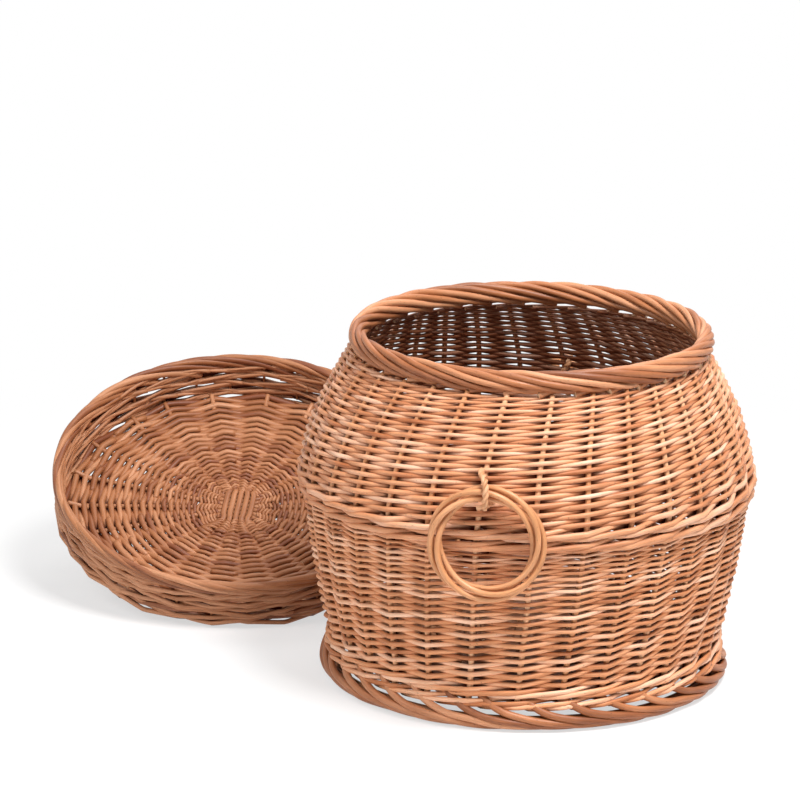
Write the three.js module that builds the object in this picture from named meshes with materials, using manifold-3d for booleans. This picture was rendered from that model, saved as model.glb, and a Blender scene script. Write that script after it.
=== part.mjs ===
// Lidded willow hamper: a round, barrel-shaped basket made in the stake-and-strand way, with a shallow
// cap lid lying upside down beside it and two wound ring handles hanging in twisted ties.
// Millimetres, +Z up. The floor is z = 0, and the origin is the middle of the footprint of hamper and lid.
// The weave itself is drawn as smooth bands of its true outline. Every rod that carries it is a solid.

import * as THREE from 'three';
import { mergeVertices } from 'three/addons/utils/BufferGeometryUtils.js';
import Module from 'manifold-3d';

const wasm = await Module();
wasm.setup();

// Driving heights of the hamper
const FOOT_TOP = 30;
const UPSETT_TOP = 50;
const WAIST_LOW = 205;
const WAIST_TOP = 231;
const SHOULDER_TOP = 356;
const MOUTH_LOW = 361;
const MOUTH_TOP = 388;

// Driving radii of the hamper, all to the outside of the weave
const FOOT_RADIUS = 223.5;
const WALL_LOW_RADIUS = 217.5;
const WALL_WAIST_RADIUS = 246;
const WALL_FLARE = 2.2;
const WAIST_RADIUS = 250.8;
const SHOULDER_RADIUS = 249.5;
const SHOULDER_DRAW_IN = 50;
const SHOULDER_CURVE = 1.55;
const MOUTH_RADIUS = 197;

// Willow sizes
const STAKES = 32;
const STAKE_RADIUS = 3;
const WEAVE_THICKNESS = 9;
const STAKE_DEPTH = 6.3;
const STAKE_PLAY = 0.5;
const STAKE_TOP_CLEARANCE = 1.3;

// Where the stakes stand. They are set wider apart in front, and widest beside each handle. Going up they
// all lean one way: a little up to the shoulder, then more, where the mouth's border pulls them over.
const WIDE_GAP_BEARING = THREE.MathUtils.degToRad(-85.6);
const FRONT_SPREAD = THREE.MathUtils.degToRad(3.8);
const HANDLE_SPREAD = THREE.MathUtils.degToRad(2.4);
const HANDLE_SPREAD_BAYS = 4;
const LOWER_TWIST = THREE.MathUtils.degToRad(4);
const UPPER_TWIST = THREE.MathUtils.degToRad(4.5);
const TWIST_MIDDLE = 270;
const TWIST_CURVE = 1.6;

const SEAT = 0.3;

// Levels at which the wall's line bends, and corners round a border
const LOWER_STEPS = 2;
const UPPER_STEPS = 4;
const BORDER_SEGMENTS = 48;
const LID_SEGMENTS = 44;

// Base of the hamper
const BASE_LOW = FOOT_TOP + SEAT;
const BASE_TOP = 40.3;
const BASE_RADIUS = 207.4;
const BASE_STICK = 3.8;
const BASE_REACH = 202;
const BASE_CROSS = { split: 4, threaded: 4, splitPitch: 8.4, threadedPitch: 8.4 };

// How a cross opens out: how far its sticks run on side by side, and where they lie as even spokes
const SPLIT_PAST_CROSS = 7;
const THREADED_PAST_CROSS = 2;
const KNEE_LENGTH = 6;
const FAN_START = 62;
const FAN_BEND = 0.65;

// Lid, in its own frame: the rim's plane is z = 0 and the lid opens along +Z
const LID_RADIUS = 214;
const LID_MOUTH_RADIUS = 202;
const LID_BORDER_DEPTH = 18.5;
const LID_WALL_DEPTH = 58;
const LID_CROWN = 3.2;
const LID_WEAVE_THICKNESS = 9;
const LID_WEAVE_RADIUS = 210.5;
const LID_STICK = 3.2;
const LID_REACH = 203;
const LID_CROSS = { split: 5, threaded: 6, splitPitch: 7.6, threadedPitch: 7.2 };

// Where the lid lies, from the hamper's axis, and which way it opens
const LID_AWAY = 430.6;
const LID_BEARING = THREE.MathUtils.degToRad(148.5);
const LID_TIP = THREE.MathUtils.degToRad(22.3);
const LID_TIP_BEARING = THREE.MathUtils.degToRad(-78.3);
const LID_SPIN = THREE.MathUtils.degToRad(3.6);
const LID_SHUT_HEIGHT = 361;

// Handles: one rod wound four times round itself, hanging in a tie on a stake
const HANDLE_TURNS = 4;
const HANDLE_STEPS_PER_TURN = 20;
const HANDLE_ROD = 2.75;
const HANDLE_RING_RADIUS = 53;
const HANDLE_LAY_RADIUS = 5.2;
const HANDLE_END_GAP = THREE.MathUtils.degToRad(9);
const HANDLE_PIVOT_RADIUS = 255.5;
const HANDLE_PIVOT_HEIGHT = 273.5;
const HANDLE_ASIDE = -2.7;
const TIE_ROD = 3;

const FINISH = {
  siding: { color: 0xcf935f, roughness: 0.6 },
  border: { color: 0xc88653, roughness: 0.5 },
  stake: { color: 0xd8a274, roughness: 0.55 },
  lid: { color: 0xbf7d4d, roughness: 0.6 },
  ring: { color: 0xd29a67, roughness: 0.45 },
  tie: { color: 0xd9ab7d, roughness: 0.6 },
};

const hamper = new THREE.Group();

function addPart(parent, name, geometry, finish) {
  const material = new THREE.MeshStandardMaterial({ ...finish, metalness: 0 });
  const mesh = new THREE.Mesh(geometry, material);
  mesh.name = name;
  parent.add(mesh);
  return mesh;
}

// Closed geometry from points and triangles, with its faces turned outwards
function solidFrom(points, triangles) {
  let volume = 0;
  for (const [a, b, c] of triangles) {
    volume += points[a].dot(points[b].clone().cross(points[c]));
  }
  const geometry = new THREE.BufferGeometry();
  geometry.setAttribute('position', new THREE.Float32BufferAttribute(points.flatMap((p) => p.toArray()), 3));
  geometry.setIndex(triangles.flatMap(([a, b, c]) => (volume > 0 ? [a, b, c] : [a, c, b])));
  return geometry;
}

function welded(geometry) {
  geometry.deleteAttribute('normal');
  geometry.deleteAttribute('uv');
  const merged = mergeVertices(geometry, 1e-3);
  const place = merged.getAttribute('position');
  const points = Array.from({ length: place.count }, (_, i) => new THREE.Vector3().fromBufferAttribute(place, i));
  const triangles = [];
  for (let i = 0; i < merged.index.count; i += 3) {
    const [a, b, c] = [0, 1, 2].map((k) => merged.index.getX(i + k));
    if (a !== b && b !== c && c !== a) triangles.push([a, b, c]);
  }
  return solidFrom(points, triangles);
}

// Boolean work
function toManifold(geometry) {
  const vertProperties = new Float32Array(geometry.getAttribute('position').array);
  const triVerts = new Uint32Array(geometry.index.array);
  return new wasm.Manifold(new wasm.Mesh({ numProp: 3, vertProperties, triVerts }));
}

function fromManifold(manifold) {
  const mesh = manifold.getMesh();
  const geometry = new THREE.BufferGeometry();
  geometry.setAttribute('position', new THREE.Float32BufferAttribute(mesh.vertProperties, 3));
  geometry.setIndex(new THREE.Uint32BufferAttribute(mesh.triVerts, 1));
  return geometry;
}

function cutFrom(geometry, tools) {
  const cut = tools.reduce((rest, tool) => rest.subtract(toManifold(tool)), toManifold(geometry));
  return fromManifold(cut);
}

function joined(geometries) {
  return fromManifold(geometries.map(toManifold).reduce((all, next) => all.add(next)));
}

// A section turned about the hamper's axis, with its first corner on the -Y side
function turned(section, segments) {
  const closed = [...section, section[0]].map(([radius, height]) => new THREE.Vector2(radius, height));
  return welded(new THREE.LatheGeometry(closed, segments).rotateX(Math.PI / 2));
}

// A section swept along a path. The section's first axis follows the guide direction.
function swept(path, guideAt, sectionAt, closed = false) {
  const count = path.length;
  const points = [];
  path.forEach((point, i) => {
    const arriving = closed || i > 0 ? point.clone().sub(path.at(i - 1)).normalize() : null;
    const leaving = closed || i < count - 1 ? path[(i + 1) % count].clone().sub(point).normalize() : null;
    const along = new THREE.Vector3().add(arriving ?? leaving).add(leaving ?? arriving).normalize();
    const guide = guideAt(i);
    const first = guide.clone().addScaledVector(along, -guide.dot(along)).normalize();
    const second = along.clone().cross(first);
    for (const [a, b] of sectionAt(i)) {
      points.push(point.clone().addScaledVector(first, a).addScaledVector(second, b));
    }
  });
  const sides = points.length / count;
  const triangles = [];
  for (let i = 0; i < (closed ? count : count - 1); i += 1) {
    for (let j = 0; j < sides; j += 1) {
      const here = i * sides;
      const next = ((i + 1) % count) * sides;
      const k = (j + 1) % sides;
      triangles.push([here + j, here + k, next + k], [here + j, next + k, next + j]);
    }
  }
  for (let j = 1; !closed && j < sides - 1; j += 1) {
    const last = (count - 1) * sides;
    triangles.push([0, j + 1, j], [last, last + j, last + j + 1]);
  }
  return solidFrom(points, triangles);
}

function oval(halfHeight, halfWidth, sides) {
  return Array.from({ length: sides }, (_, k) => {
    const angle = ((k + 0.5) / sides) * 2 * Math.PI;
    return [halfHeight * Math.cos(angle), halfWidth * Math.sin(angle)];
  });
}

// The line of the weave's outer face, from the foot to the mouth
function lowerWallRadius(z) {
  const s = (z - UPSETT_TOP) / (WAIST_LOW - UPSETT_TOP);
  return THREE.MathUtils.lerp(WALL_LOW_RADIUS, WALL_WAIST_RADIUS, s) + WALL_FLARE * Math.sin(Math.PI * s);
}

function upperWallRadius(z) {
  const s = (z - WAIST_TOP) / (SHOULDER_TOP + 2 - WAIST_TOP);
  return SHOULDER_RADIUS - SHOULDER_DRAW_IN * Math.max(s, 0) ** SHOULDER_CURVE;
}

function wallRadius(z) {
  if (z < UPSETT_TOP) return WALL_LOW_RADIUS + (UPSETT_TOP - z) * 0.07;
  if (z <= WAIST_LOW) return lowerWallRadius(z);
  if (z >= WAIST_TOP) return upperWallRadius(z);
  const s = (z - WAIST_LOW) / (WAIST_TOP - WAIST_LOW);
  return THREE.MathUtils.lerp(WALL_WAIST_RADIUS, SHOULDER_RADIUS, s);
}

// How far the stakes beside a handle are pushed away from the wide gap, as a share
function pushedAside(bays) {
  return Math.tanh(bays) * Math.exp(-((bays / HANDLE_SPREAD_BAYS) ** 4));
}

// How far the stakes have come round at a height, from where they stand at the shoulder
function stakeTwist(z) {
  if (z < TWIST_MIDDLE) return (-LOWER_TWIST * (TWIST_MIDDLE - z)) / (TWIST_MIDDLE - UPSETT_TOP);
  return UPPER_TWIST * ((z - TWIST_MIDDLE) / (SHOULDER_TOP + 2 - TWIST_MIDDLE)) ** TWIST_CURVE;
}

// A stake's bearing. The first stake is the one that the front handle hangs on.
function stakeBearing(k, z) {
  const bays = k > STAKES / 2 ? k - STAKES - 0.5 : k - 0.5;
  const round = (bays / STAKES) * 2 * Math.PI;
  const fromBack = bays > 0 ? bays - STAKES / 2 : bays + STAKES / 2;
  const aside = HANDLE_SPREAD * (pushedAside(bays) + pushedAside(fromBack));
  return WIDE_GAP_BEARING + round + FRONT_SPREAD * Math.sin(round) + aside + stakeTwist(z);
}

function levels(low, high, steps) {
  return Array.from({ length: steps + 1 }, (_, k) => THREE.MathUtils.lerp(low, high, k / steps));
}

// A woven band: its outer face has a corner over each stake, and its inner face a groove for each stake
function wovenBand(heights, proudAt) {
  const halfGroove = STAKE_RADIUS + STAKE_PLAY;
  const points = [];
  for (const z of heights) {
    const face = wallRadius(z) - WEAVE_THICKNESS;
    const bed = wallRadius(z) - STAKE_DEPTH + STAKE_RADIUS + STAKE_PLAY;
    for (let k = 0; k < STAKES; k += 1) {
      const angle = stakeBearing(k, z);
      const outward = new THREE.Vector3(Math.cos(angle), Math.sin(angle), 0);
      const sideways = new THREE.Vector3(-Math.sin(angle), Math.cos(angle), 0);
      const lift = new THREE.Vector3(0, 0, z);
      points.push(lift.clone().addScaledVector(outward, wallRadius(z) + proudAt(z)));
      for (const [radius, side] of [[face, -1], [bed, -1], [bed, 1], [face, 1]]) {
        points.push(lift.clone().addScaledVector(outward, radius).addScaledVector(sideways, side * halfGroove));
      }
    }
  }
  const loop = 5 * STAKES;
  const outer = Array.from({ length: STAKES }, (_, k) => 5 * k);
  const inner = Array.from({ length: 4 * STAKES }, (_, k) => 5 * Math.floor(k / 4) + 1 + (k % 4));
  const triangles = [];
  for (let i = 0; i < heights.length - 1; i += 1) {
    for (const [ring, turn] of [[outer, 1], [inner, -1]]) {
      ring.forEach((a, k) => {
        const b = ring[(k + 1) % ring.length];
        const low = i * loop;
        const high = low + loop;
        const faces = [[low + a, low + b, high + b], [low + a, high + b, high + a]];
        faces.forEach(([p, q, r]) => triangles.push(turn > 0 ? [p, q, r] : [p, r, q]));
      });
    }
  }
  const flat = (ring) => ring.map((k) => new THREE.Vector2(points[k].x, points[k].y));
  const cap = THREE.ShapeUtils.triangulateShape(flat(outer), [flat(inner)]);
  const order = [...outer, ...inner];
  const top = (heights.length - 1) * loop;
  for (const corners of cap) {
    const [a, b, c] = corners.map((k) => order[k]);
    const area = new THREE.Vector3().subVectors(points[b], points[a]).cross(points[c].clone().sub(points[a])).z;
    const [p, q, r] = area > 0 ? [a, b, c] : [a, c, b];
    triangles.push([p, r, q], [top + p, top + q, top + r]);
  }
  return solidFrom(points, triangles);
}

function buildWalls(tieCutters) {
  const upsettProud = (z) => 2.5 * Math.sin((Math.PI * (z - FOOT_TOP)) / (UPSETT_TOP - FOOT_TOP));
  const waistProud = (z) => {
    const s = (z - WAIST_LOW) / (WAIST_TOP - WAIST_LOW);
    return (WAIST_RADIUS - wallRadius((WAIST_LOW + WAIST_TOP) / 2)) * Math.sin(Math.PI * s) ** 0.5;
  };
  const flush = () => 0;
  const upsett = wovenBand(levels(BASE_LOW, UPSETT_TOP - SEAT, 2), upsettProud);
  const lower = wovenBand(levels(UPSETT_TOP, WAIST_LOW - SEAT, LOWER_STEPS), flush);
  const waist = wovenBand(levels(WAIST_LOW, WAIST_TOP - SEAT, 2), waistProud);
  const upper = wovenBand(levels(WAIST_TOP, SHOULDER_TOP, UPPER_STEPS), flush);
  addPart(hamper, 'upsett_wale', upsett, FINISH.border);
  addPart(hamper, 'lower_wall', lower, FINISH.siding);
  addPart(hamper, 'waist_wale', waist, FINISH.border);
  addPart(hamper, 'upper_wall', cutFrom(upper, tieCutters), FINISH.siding);
}

function buildStakes() {
  const heights = [
    BASE_LOW + SEAT,
    ...levels(UPSETT_TOP, WAIST_LOW, LOWER_STEPS),
    ...levels(WAIST_TOP, SHOULDER_TOP, UPPER_STEPS),
    MOUTH_LOW - STAKE_TOP_CLEARANCE,
  ];
  for (let k = 0; k < STAKES; k += 1) {
    const outward = heights.map((z) => {
      const angle = stakeBearing(k, z);
      return new THREE.Vector3(Math.cos(angle), Math.sin(angle), 0);
    });
    const path = heights.map((z, i) => {
      const radius = wallRadius(z) - STAKE_DEPTH;
      return new THREE.Vector3(0, 0, z).addScaledVector(outward[i], radius);
    });
    const section = oval(STAKE_RADIUS, STAKE_RADIUS, 5);
    const stake = swept(path, (i) => outward[i], () => section);
    addPart(hamper, `side_stake_${String(k + 1).padStart(2, '0')}`, stake, FINISH.stake);
  }
}

// The foot is a rolled border with a flat underside, and the mouth a rolled border of thick rods
function buildBorders() {
  const foot = [
    [198, 0], [208, 0], [216, 4.5], [222.3, 11], [FOOT_RADIUS, 18], [220.5, 26], [215, FOOT_TOP],
    [200, FOOT_TOP], [196, 22], [195.5, 8],
  ];
  const mouth = [
    [183, MOUTH_LOW], [192, MOUTH_LOW], [196, 366], [MOUTH_RADIUS, 373], [195, 380.5], [190, 386.3],
    [184.5, MOUTH_TOP], [179.5, 385], [177.5, 377], [178.5, 367],
  ];
  addPart(hamper, 'foot_border', turned(foot, BORDER_SEGMENTS), FINISH.border);
  addPart(hamper, 'mouth_border', turned(mouth, BORDER_SEGMENTS), FINISH.border);
}

// The crossed sticks in the middle of a woven disc. One set is split, the other is threaded through the
// splits, and beyond the cross all of them fan out into evenly spaced spokes.
function crossedSticks({ split, threaded, splitPitch, threadedPitch, radius, reach, faceAt }) {
  const step = Math.PI / (split + threaded);
  const height = (x, y) => faceAt(Math.hypot(x, y)) - radius;
  const halfCross = {
    split: (threaded * threadedPitch) / 2 + SPLIT_PAST_CROSS,
    threaded: (split * splitPitch) / 2 + THREADED_PAST_CROSS,
  };
  const sticks = [];
  for (const [kind, count, pitch, heading] of [
    ['split', split, splitPitch, Math.PI / 2],
    ['threaded', threaded, threadedPitch, 0],
  ]) {
    for (let k = 0; k < count; k += 1) {
      const place = k - (count - 1) / 2;
      const half = halfCross[kind];
      const fan = [reach, reach * FAN_BEND, FAN_START].map((r) => [
        r * Math.cos(heading - place * step),
        r * Math.sin(heading - place * step),
      ]);
      const end = kind === 'split' ? [place * pitch, half] : [half, -place * pitch];
      const back = half - KNEE_LENGTH;
      const knee = kind === 'split' ? [place * pitch, back] : [back, -place * pitch];
      const arm = [...fan, end, knee];
      const mirror = ([x, y]) => (kind === 'split' ? [x, -y] : [-x, y]);
      const outline = [...arm, ...arm.map(mirror).reverse()];
      const path = outline.map(([x, y]) => new THREE.Vector3(x, y, height(x, y)));
      sticks.push({ kind, path });
    }
  }
  return sticks;
}

const straightUp = () => new THREE.Vector3(0, 0, 1);

function stickSolid({ kind, path }, radius) {
  const swollen = path.length / 2 - 1;
  const halfHeight = (i) => (kind === 'split' && (i === swollen || i === swollen + 1) ? 2.1 * radius : radius);
  return swept(path, straightUp, (i) => oval(halfHeight(i), radius, 6));
}

// The channel that a stick lies in, open towards the inside of the disc
function stickChannel({ path }, radius) {
  const wide = radius + 0.45;
  const section = [[-wide, -wide], [3 * radius, -wide], [3 * radius, wide], [-wide, wide]];
  return swept(path, straightUp, () => section);
}

// The opening in the middle of the weave, filled by the cross itself
function crossHole({ split, threaded, splitPitch, threadedPitch }, middle) {
  const width = split * splitPitch + 3;
  const length = threaded * threadedPitch + 2 * SPLIT_PAST_CROSS;
  return welded(new THREE.BoxGeometry(width, length, 40).translate(0, 0, middle));
}

function buildBase() {
  const sticks = crossedSticks({ ...BASE_CROSS, radius: BASE_STICK, reach: BASE_REACH, faceAt: () => BASE_TOP });
  const disc = [[12, BASE_LOW], [BASE_RADIUS - 2, BASE_LOW], [BASE_RADIUS, BASE_TOP - 4],
    [BASE_RADIUS - 2, BASE_TOP], [12, BASE_TOP]];
  const hole = crossHole(BASE_CROSS, BASE_TOP);
  const channels = sticks.map((stick) => stickChannel(stick, BASE_STICK));
  addPart(hamper, 'base_weave', cutFrom(turned(disc, STAKES), [hole, ...channels]), FINISH.siding);
  const cross = joined(sticks.map((stick) => stickSolid(stick, BASE_STICK)));
  addPart(hamper, 'base_cross', cross, FINISH.stake);
}

function lidFace(radius) {
  return -LID_WALL_DEPTH - SEAT - LID_CROWN * (1 - (radius / LID_WEAVE_RADIUS) ** 2);
}

function buildLid() {
  const lid = new THREE.Group();
  const border = [
    [204.5, -1.5], [208, 0], [211.5, -1.5], [LID_RADIUS, -6], [LID_RADIUS, -13], [212, -LID_BORDER_DEPTH],
    [203.5, -LID_BORDER_DEPTH], [LID_MOUTH_RADIUS, -13], [LID_MOUTH_RADIUS, -6],
  ];
  const wallTop = -LID_BORDER_DEPTH - SEAT;
  const wall = [[203, wallTop], [212, wallTop], [211.5, -40], [210, -LID_WALL_DEPTH], [201, -LID_WALL_DEPTH],
    [202.5, -40]];
  const weave = [
    ...[12, 132, 204].map((r) => [r, lidFace(r) - LID_WEAVE_THICKNESS]),
    [LID_WEAVE_RADIUS - 3, lidFace(LID_WEAVE_RADIUS) - LID_WEAVE_THICKNESS + 0.6],
    [LID_WEAVE_RADIUS, lidFace(LID_WEAVE_RADIUS) - 4],
    [LID_WEAVE_RADIUS - 1, lidFace(LID_WEAVE_RADIUS)],
    ...[204, 132, 12].map((r) => [r, lidFace(r)]),
  ];
  const sticks = crossedSticks({ ...LID_CROSS, radius: LID_STICK, reach: LID_REACH, faceAt: lidFace });
  const hole = crossHole(LID_CROSS, lidFace(0));
  const channels = sticks.map((stick) => stickChannel(stick, LID_STICK));
  addPart(lid, 'lid_border', turned(border, BORDER_SEGMENTS), FINISH.border);
  addPart(lid, 'lid_wall', turned(wall, LID_SEGMENTS), FINISH.lid);
  addPart(lid, 'lid_weave', cutFrom(turned(weave, LID_SEGMENTS), [hole, ...channels]), FINISH.lid);

  // Each split stick is opened by a slot that the threaded sticks pass through
  const slotHeight = 2 * LID_STICK + 1;
  const slotLength = LID_CROSS.threaded * LID_CROSS.threadedPitch + 2;
  const slotMiddle = lidFace(0) - LID_STICK;
  sticks.forEach((stick, k) => {
    const rod = stickSolid(stick, LID_STICK);
    if (stick.kind === 'threaded') {
      addPart(lid, `lid_stick_threaded_${k - LID_CROSS.split + 1}`, rod, FINISH.stake);
      return;
    }
    const slot = new THREE.BoxGeometry(100, slotLength, slotHeight).translate(0, 0, slotMiddle);
    addPart(lid, `lid_stick_split_${k + 1}`, cutFrom(rod, [welded(slot)]), FINISH.stake);
  });
  return lid;
}

// One rod wound round the ring and round itself. Each turn lies a quarter of the way further round the
// ring's own section, so the turns nest side by side. The ends stop short of each other under the tie.
function handleWinding() {
  const sweep = HANDLE_TURNS * 2 * Math.PI - HANDLE_END_GAP;
  const count = HANDLE_TURNS * HANDLE_STEPS_PER_TURN;
  const layPerTurn = 1 + 1 / HANDLE_TURNS;
  const path = [];
  const spokes = [];
  for (let i = 0; i <= count; i += 1) {
    const round = Math.PI / 2 + HANDLE_END_GAP / 2 + (i / count) * sweep;
    const lay = round * layPerTurn;
    const spoke = new THREE.Vector3(Math.cos(round), 0, Math.sin(round));
    const centre = spoke.clone().multiplyScalar(HANDLE_RING_RADIUS);
    const off = spoke.clone().multiplyScalar(Math.cos(lay)).add(new THREE.Vector3(0, Math.sin(lay), 0));
    path.push(centre.addScaledVector(off, HANDLE_LAY_RADIUS));
    spokes.push(spoke);
  }
  return { path, spokes };
}

// Least distance between the surfaces of turns that lie beside each other
function leastGap(path, radius) {
  let least = Infinity;
  const apart = HANDLE_STEPS_PER_TURN / 2;
  const fine = new THREE.CatmullRomCurve3(path).getPoints(4 * path.length);
  for (let i = 0; i < fine.length; i += 1) {
    for (let j = i + 4 * apart; j < fine.length; j += 1) {
      least = Math.min(least, fine[i].distanceTo(fine[j]) - 2 * radius);
    }
  }
  return least;
}

// The tie goes in beside a stake, behind it, and out on its other side, and takes in the ring's top
function tiePath() {
  const stops = [
    [-13.4, 220.5, 286], [-13.7, 229.5, 288.8], [-12.8, 240, 288.8], [-9.8, 251, 288], [-6, 263.4, 284.3],
    [-2.5, 269, 274], [1, 265.2, 264.1], [3.5, 255.3, 260.1], [4.1, 245, 260.1], [4.1, 237, 260.6],
    [3.3, 230.3, 262.8], [-1.5, 227.5, 269.5], [-8.3, 223.3, 279],
  ];
  const curve = new THREE.CatmullRomCurve3(stops.map(([x, out, z]) => new THREE.Vector3(x, -out, z)), true);
  return curve.getPoints(2 * stops.length).slice(0, -1);
}

function tieSolid(radius) {
  return swept(tiePath(), () => new THREE.Vector3(1, 0, 0), () => oval(radius, radius, 6), true);
}

function buildHandles() {
  const { path, spokes } = handleWinding();
  console.log(`least gap between the turns of a handle ring: ${leastGap(path, HANDLE_ROD).toFixed(2)} mm`);
  const section = oval(HANDLE_ROD, HANDLE_ROD, 6);
  for (const [place, turn] of [['front', 0], ['back', Math.PI]]) {
    const side = new THREE.Group();
    side.rotation.z = turn;
    side.position.set(HANDLE_ASIDE, 0, 0).applyAxisAngle(straightUp(), turn);
    const ring = addPart(side, `handle_ring_${place}`, swept(path, (i) => spokes[i], () => section), FINISH.ring);
    ring.position.set(0, -HANDLE_PIVOT_RADIUS, HANDLE_PIVOT_HEIGHT - HANDLE_RING_RADIUS);
    addPart(side, `handle_tie_${place}`, tieSolid(TIE_ROD), FINISH.tie);
    hamper.add(side);
  }
  return [0, Math.PI].map((turn) => tieSolid(TIE_ROD + 0.5).translate(HANDLE_ASIDE, 0, 0).rotateZ(turn));
}

// Lays the lid on the floor, then works out the one axis about which it turns over onto the mouth
function layLid(lid) {
  const opens = new THREE.Vector3(
    Math.sin(LID_TIP) * Math.cos(LID_TIP_BEARING),
    Math.sin(LID_TIP) * Math.sin(LID_TIP_BEARING),
    Math.cos(LID_TIP),
  );
  lid.quaternion.setFromUnitVectors(new THREE.Vector3(0, 0, 1), opens);
  lid.quaternion.multiply(new THREE.Quaternion().setFromAxisAngle(new THREE.Vector3(0, 0, 1), LID_SPIN));
  lid.position.set(LID_AWAY * Math.cos(LID_BEARING), LID_AWAY * Math.sin(LID_BEARING), 0);
  lid.position.z = -new THREE.Box3().setFromObject(lid, true).min.z;

  const shut = new THREE.Vector3(0, 0, LID_SHUT_HEIGHT);
  const down = new THREE.Vector3(0, 0, -1);
  const axis = shut.clone().sub(lid.position).cross(down.clone().sub(opens)).normalize();
  const from = opens.clone().addScaledVector(axis, -opens.dot(axis));
  const to = down.clone().addScaledVector(axis, -down.dot(axis));
  const angle = Math.atan2(from.clone().cross(to).dot(axis), from.dot(to));
  const chord = shut.clone().sub(lid.position);
  const offset = axis.clone().cross(chord).multiplyScalar(0.5 / Math.tan(angle / 2));
  const pivot = lid.position.clone().addScaledVector(chord, 0.5).add(offset);
  return { axis, pivot, angle };
}

const tieCutters = buildHandles();
buildBorders();
buildWalls(tieCutters);
buildStakes();
buildBase();
const lid = buildLid();
const swing = layLid(lid);
hamper.add(lid);

// The origin goes to the middle of the footprint
const room = new THREE.Box3().setFromObject(hamper, true);
const middle = room.getCenter(new THREE.Vector3());
hamper.position.set(-middle.x, -middle.y, 0);

const spell = (vector) => vector.toArray().map((value) => value.toFixed(4)).join(', ');
console.log(`hamper axis at ${spell(hamper.position)}`);
console.log(`lid swing axis ${spell(swing.axis)} through ${spell(swing.pivot.add(hamper.position))}`);
console.log(`lid swing angle ${THREE.MathUtils.radToDeg(swing.angle).toFixed(3)} degrees`);

export default hamper;
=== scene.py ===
"""The looks of a lidded willow hamper, with every rod of its weave as geometry.

The hamper is made in the stake-and-strand way: rods are woven round upright stakes and round the spokes
of the base and the lid, and thick rods are rolled into the borders. Lengths are millimetres until a mesh
is made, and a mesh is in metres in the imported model's own frame.
"""

import logging
import math
from abc import ABC, abstractmethod
from dataclasses import dataclass, field
from enum import Enum

import bpy
import numpy as np
from bpy.types import Material, Node, NodeSocket, NodeTree, Object
from mathutils import Matrix, Vector
from numpy.random import Generator, default_rng


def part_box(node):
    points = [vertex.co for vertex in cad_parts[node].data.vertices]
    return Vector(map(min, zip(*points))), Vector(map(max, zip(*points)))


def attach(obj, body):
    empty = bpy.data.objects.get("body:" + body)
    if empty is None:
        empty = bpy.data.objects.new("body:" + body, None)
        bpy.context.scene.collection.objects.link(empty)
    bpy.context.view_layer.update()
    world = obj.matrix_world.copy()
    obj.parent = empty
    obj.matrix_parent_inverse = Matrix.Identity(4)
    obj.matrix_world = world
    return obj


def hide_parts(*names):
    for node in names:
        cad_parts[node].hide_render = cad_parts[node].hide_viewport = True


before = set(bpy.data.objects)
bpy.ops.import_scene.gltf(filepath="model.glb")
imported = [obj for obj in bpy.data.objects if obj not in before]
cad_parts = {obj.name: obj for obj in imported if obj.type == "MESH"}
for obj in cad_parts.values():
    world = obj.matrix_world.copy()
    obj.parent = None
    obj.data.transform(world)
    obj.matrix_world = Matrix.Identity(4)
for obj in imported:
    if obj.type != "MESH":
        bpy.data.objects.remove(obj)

log = logging.getLogger("hamper")
Array = np.ndarray
Span = tuple[float, float]
Stops = tuple[tuple[float, float, float], ...]
MM = 0.001
FULL_TURN = 2 * math.pi
WHITE = (1.0, 1.0, 1.0, 1.0)

# No direction is divided by less than this length
SHORTEST = 1e-12

# A cut end is a face with many corners. All the other faces of a rod have four
QUAD = 4

# The directions of a piece's own frame
SIDEWAYS, BACKWARDS, UP = np.eye(3)

# How sharply a strand bends at a stake, from 0, a wave, to 1, a corner
BEND_SHARPNESS = 0.98

# Over how many bays a strand comes out of hiding, and how far the hidden shade wraps round its two sides
HIDING_FADE = 0.14
OUTER_WRAP = 0.6
INNER_WRAP = 0.1

# Heights and outside radii of the hamper's weave. Below the upsett it spreads by a share of the way down
UPSETT_TOP = 50.0
WAIST_LOW = 205.0
WAIST_TOP = 231.0
SHOULDER_TOP = 358.0
SIDING_TOP = 360.5
WALL_LOW_RADIUS = 217.5
WALL_WAIST_RADIUS = 246.0
WALL_FLARE = 2.2
SHOULDER_RADIUS = 249.5
SHOULDER_DRAW_IN = 50.0
SHOULDER_CURVE = 1.55
FOOT_SPREAD = 0.07

# Stakes of the hamper. They are set wider apart in front, and widest beside each handle. Going up they all
# lean one way: a little up to the shoulder, then more, where the mouth's border pulls them over. Their line
# is given by its lowest and highest height and how many points it has.
STAKES = 32
STAKE_DEPTH = 8.3
STAKE_LINE = (22.0, 372.0, 176)
WIDE_GAP_BEARING = math.radians(-85.6)
FRONT_SPREAD = math.radians(3.8)
HANDLE_SPREAD = math.radians(2.4)
HANDLE_SPREAD_BAYS = 4.0
LOWER_TWIST = math.radians(4.0)
UPPER_TWIST = math.radians(4.5)
TWIST_MIDDLE = 270.0
TWIST_CURVE = 1.6

# Where a handle hangs: how far out, how high, and how far beside the middle of its wide gap
HANDLE_OUT = 255.5
HANDLE_HEIGHT = 273.5
HANDLE_ASIDE = -2.7

# The lid's own sizes, with its rim at z = 0 and its opening along +Z
LID_WALL_DEPTH = 58.0
LID_CROWN = 3.2
LID_WEAVE_RADIUS = 210.5
LID_BORDER_DEPTH = 18.5
LID_TIP = math.radians(22.3)
LID_TIP_BEARING = math.radians(-78.3)
LID_SPIN = math.radians(3.6)
LID_STAKES = 32
LID_WALL_RADIUS = 206.6
LID_STAKE_LINE = (-LID_WALL_DEPTH - 5.0, -12.0, 40)

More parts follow.
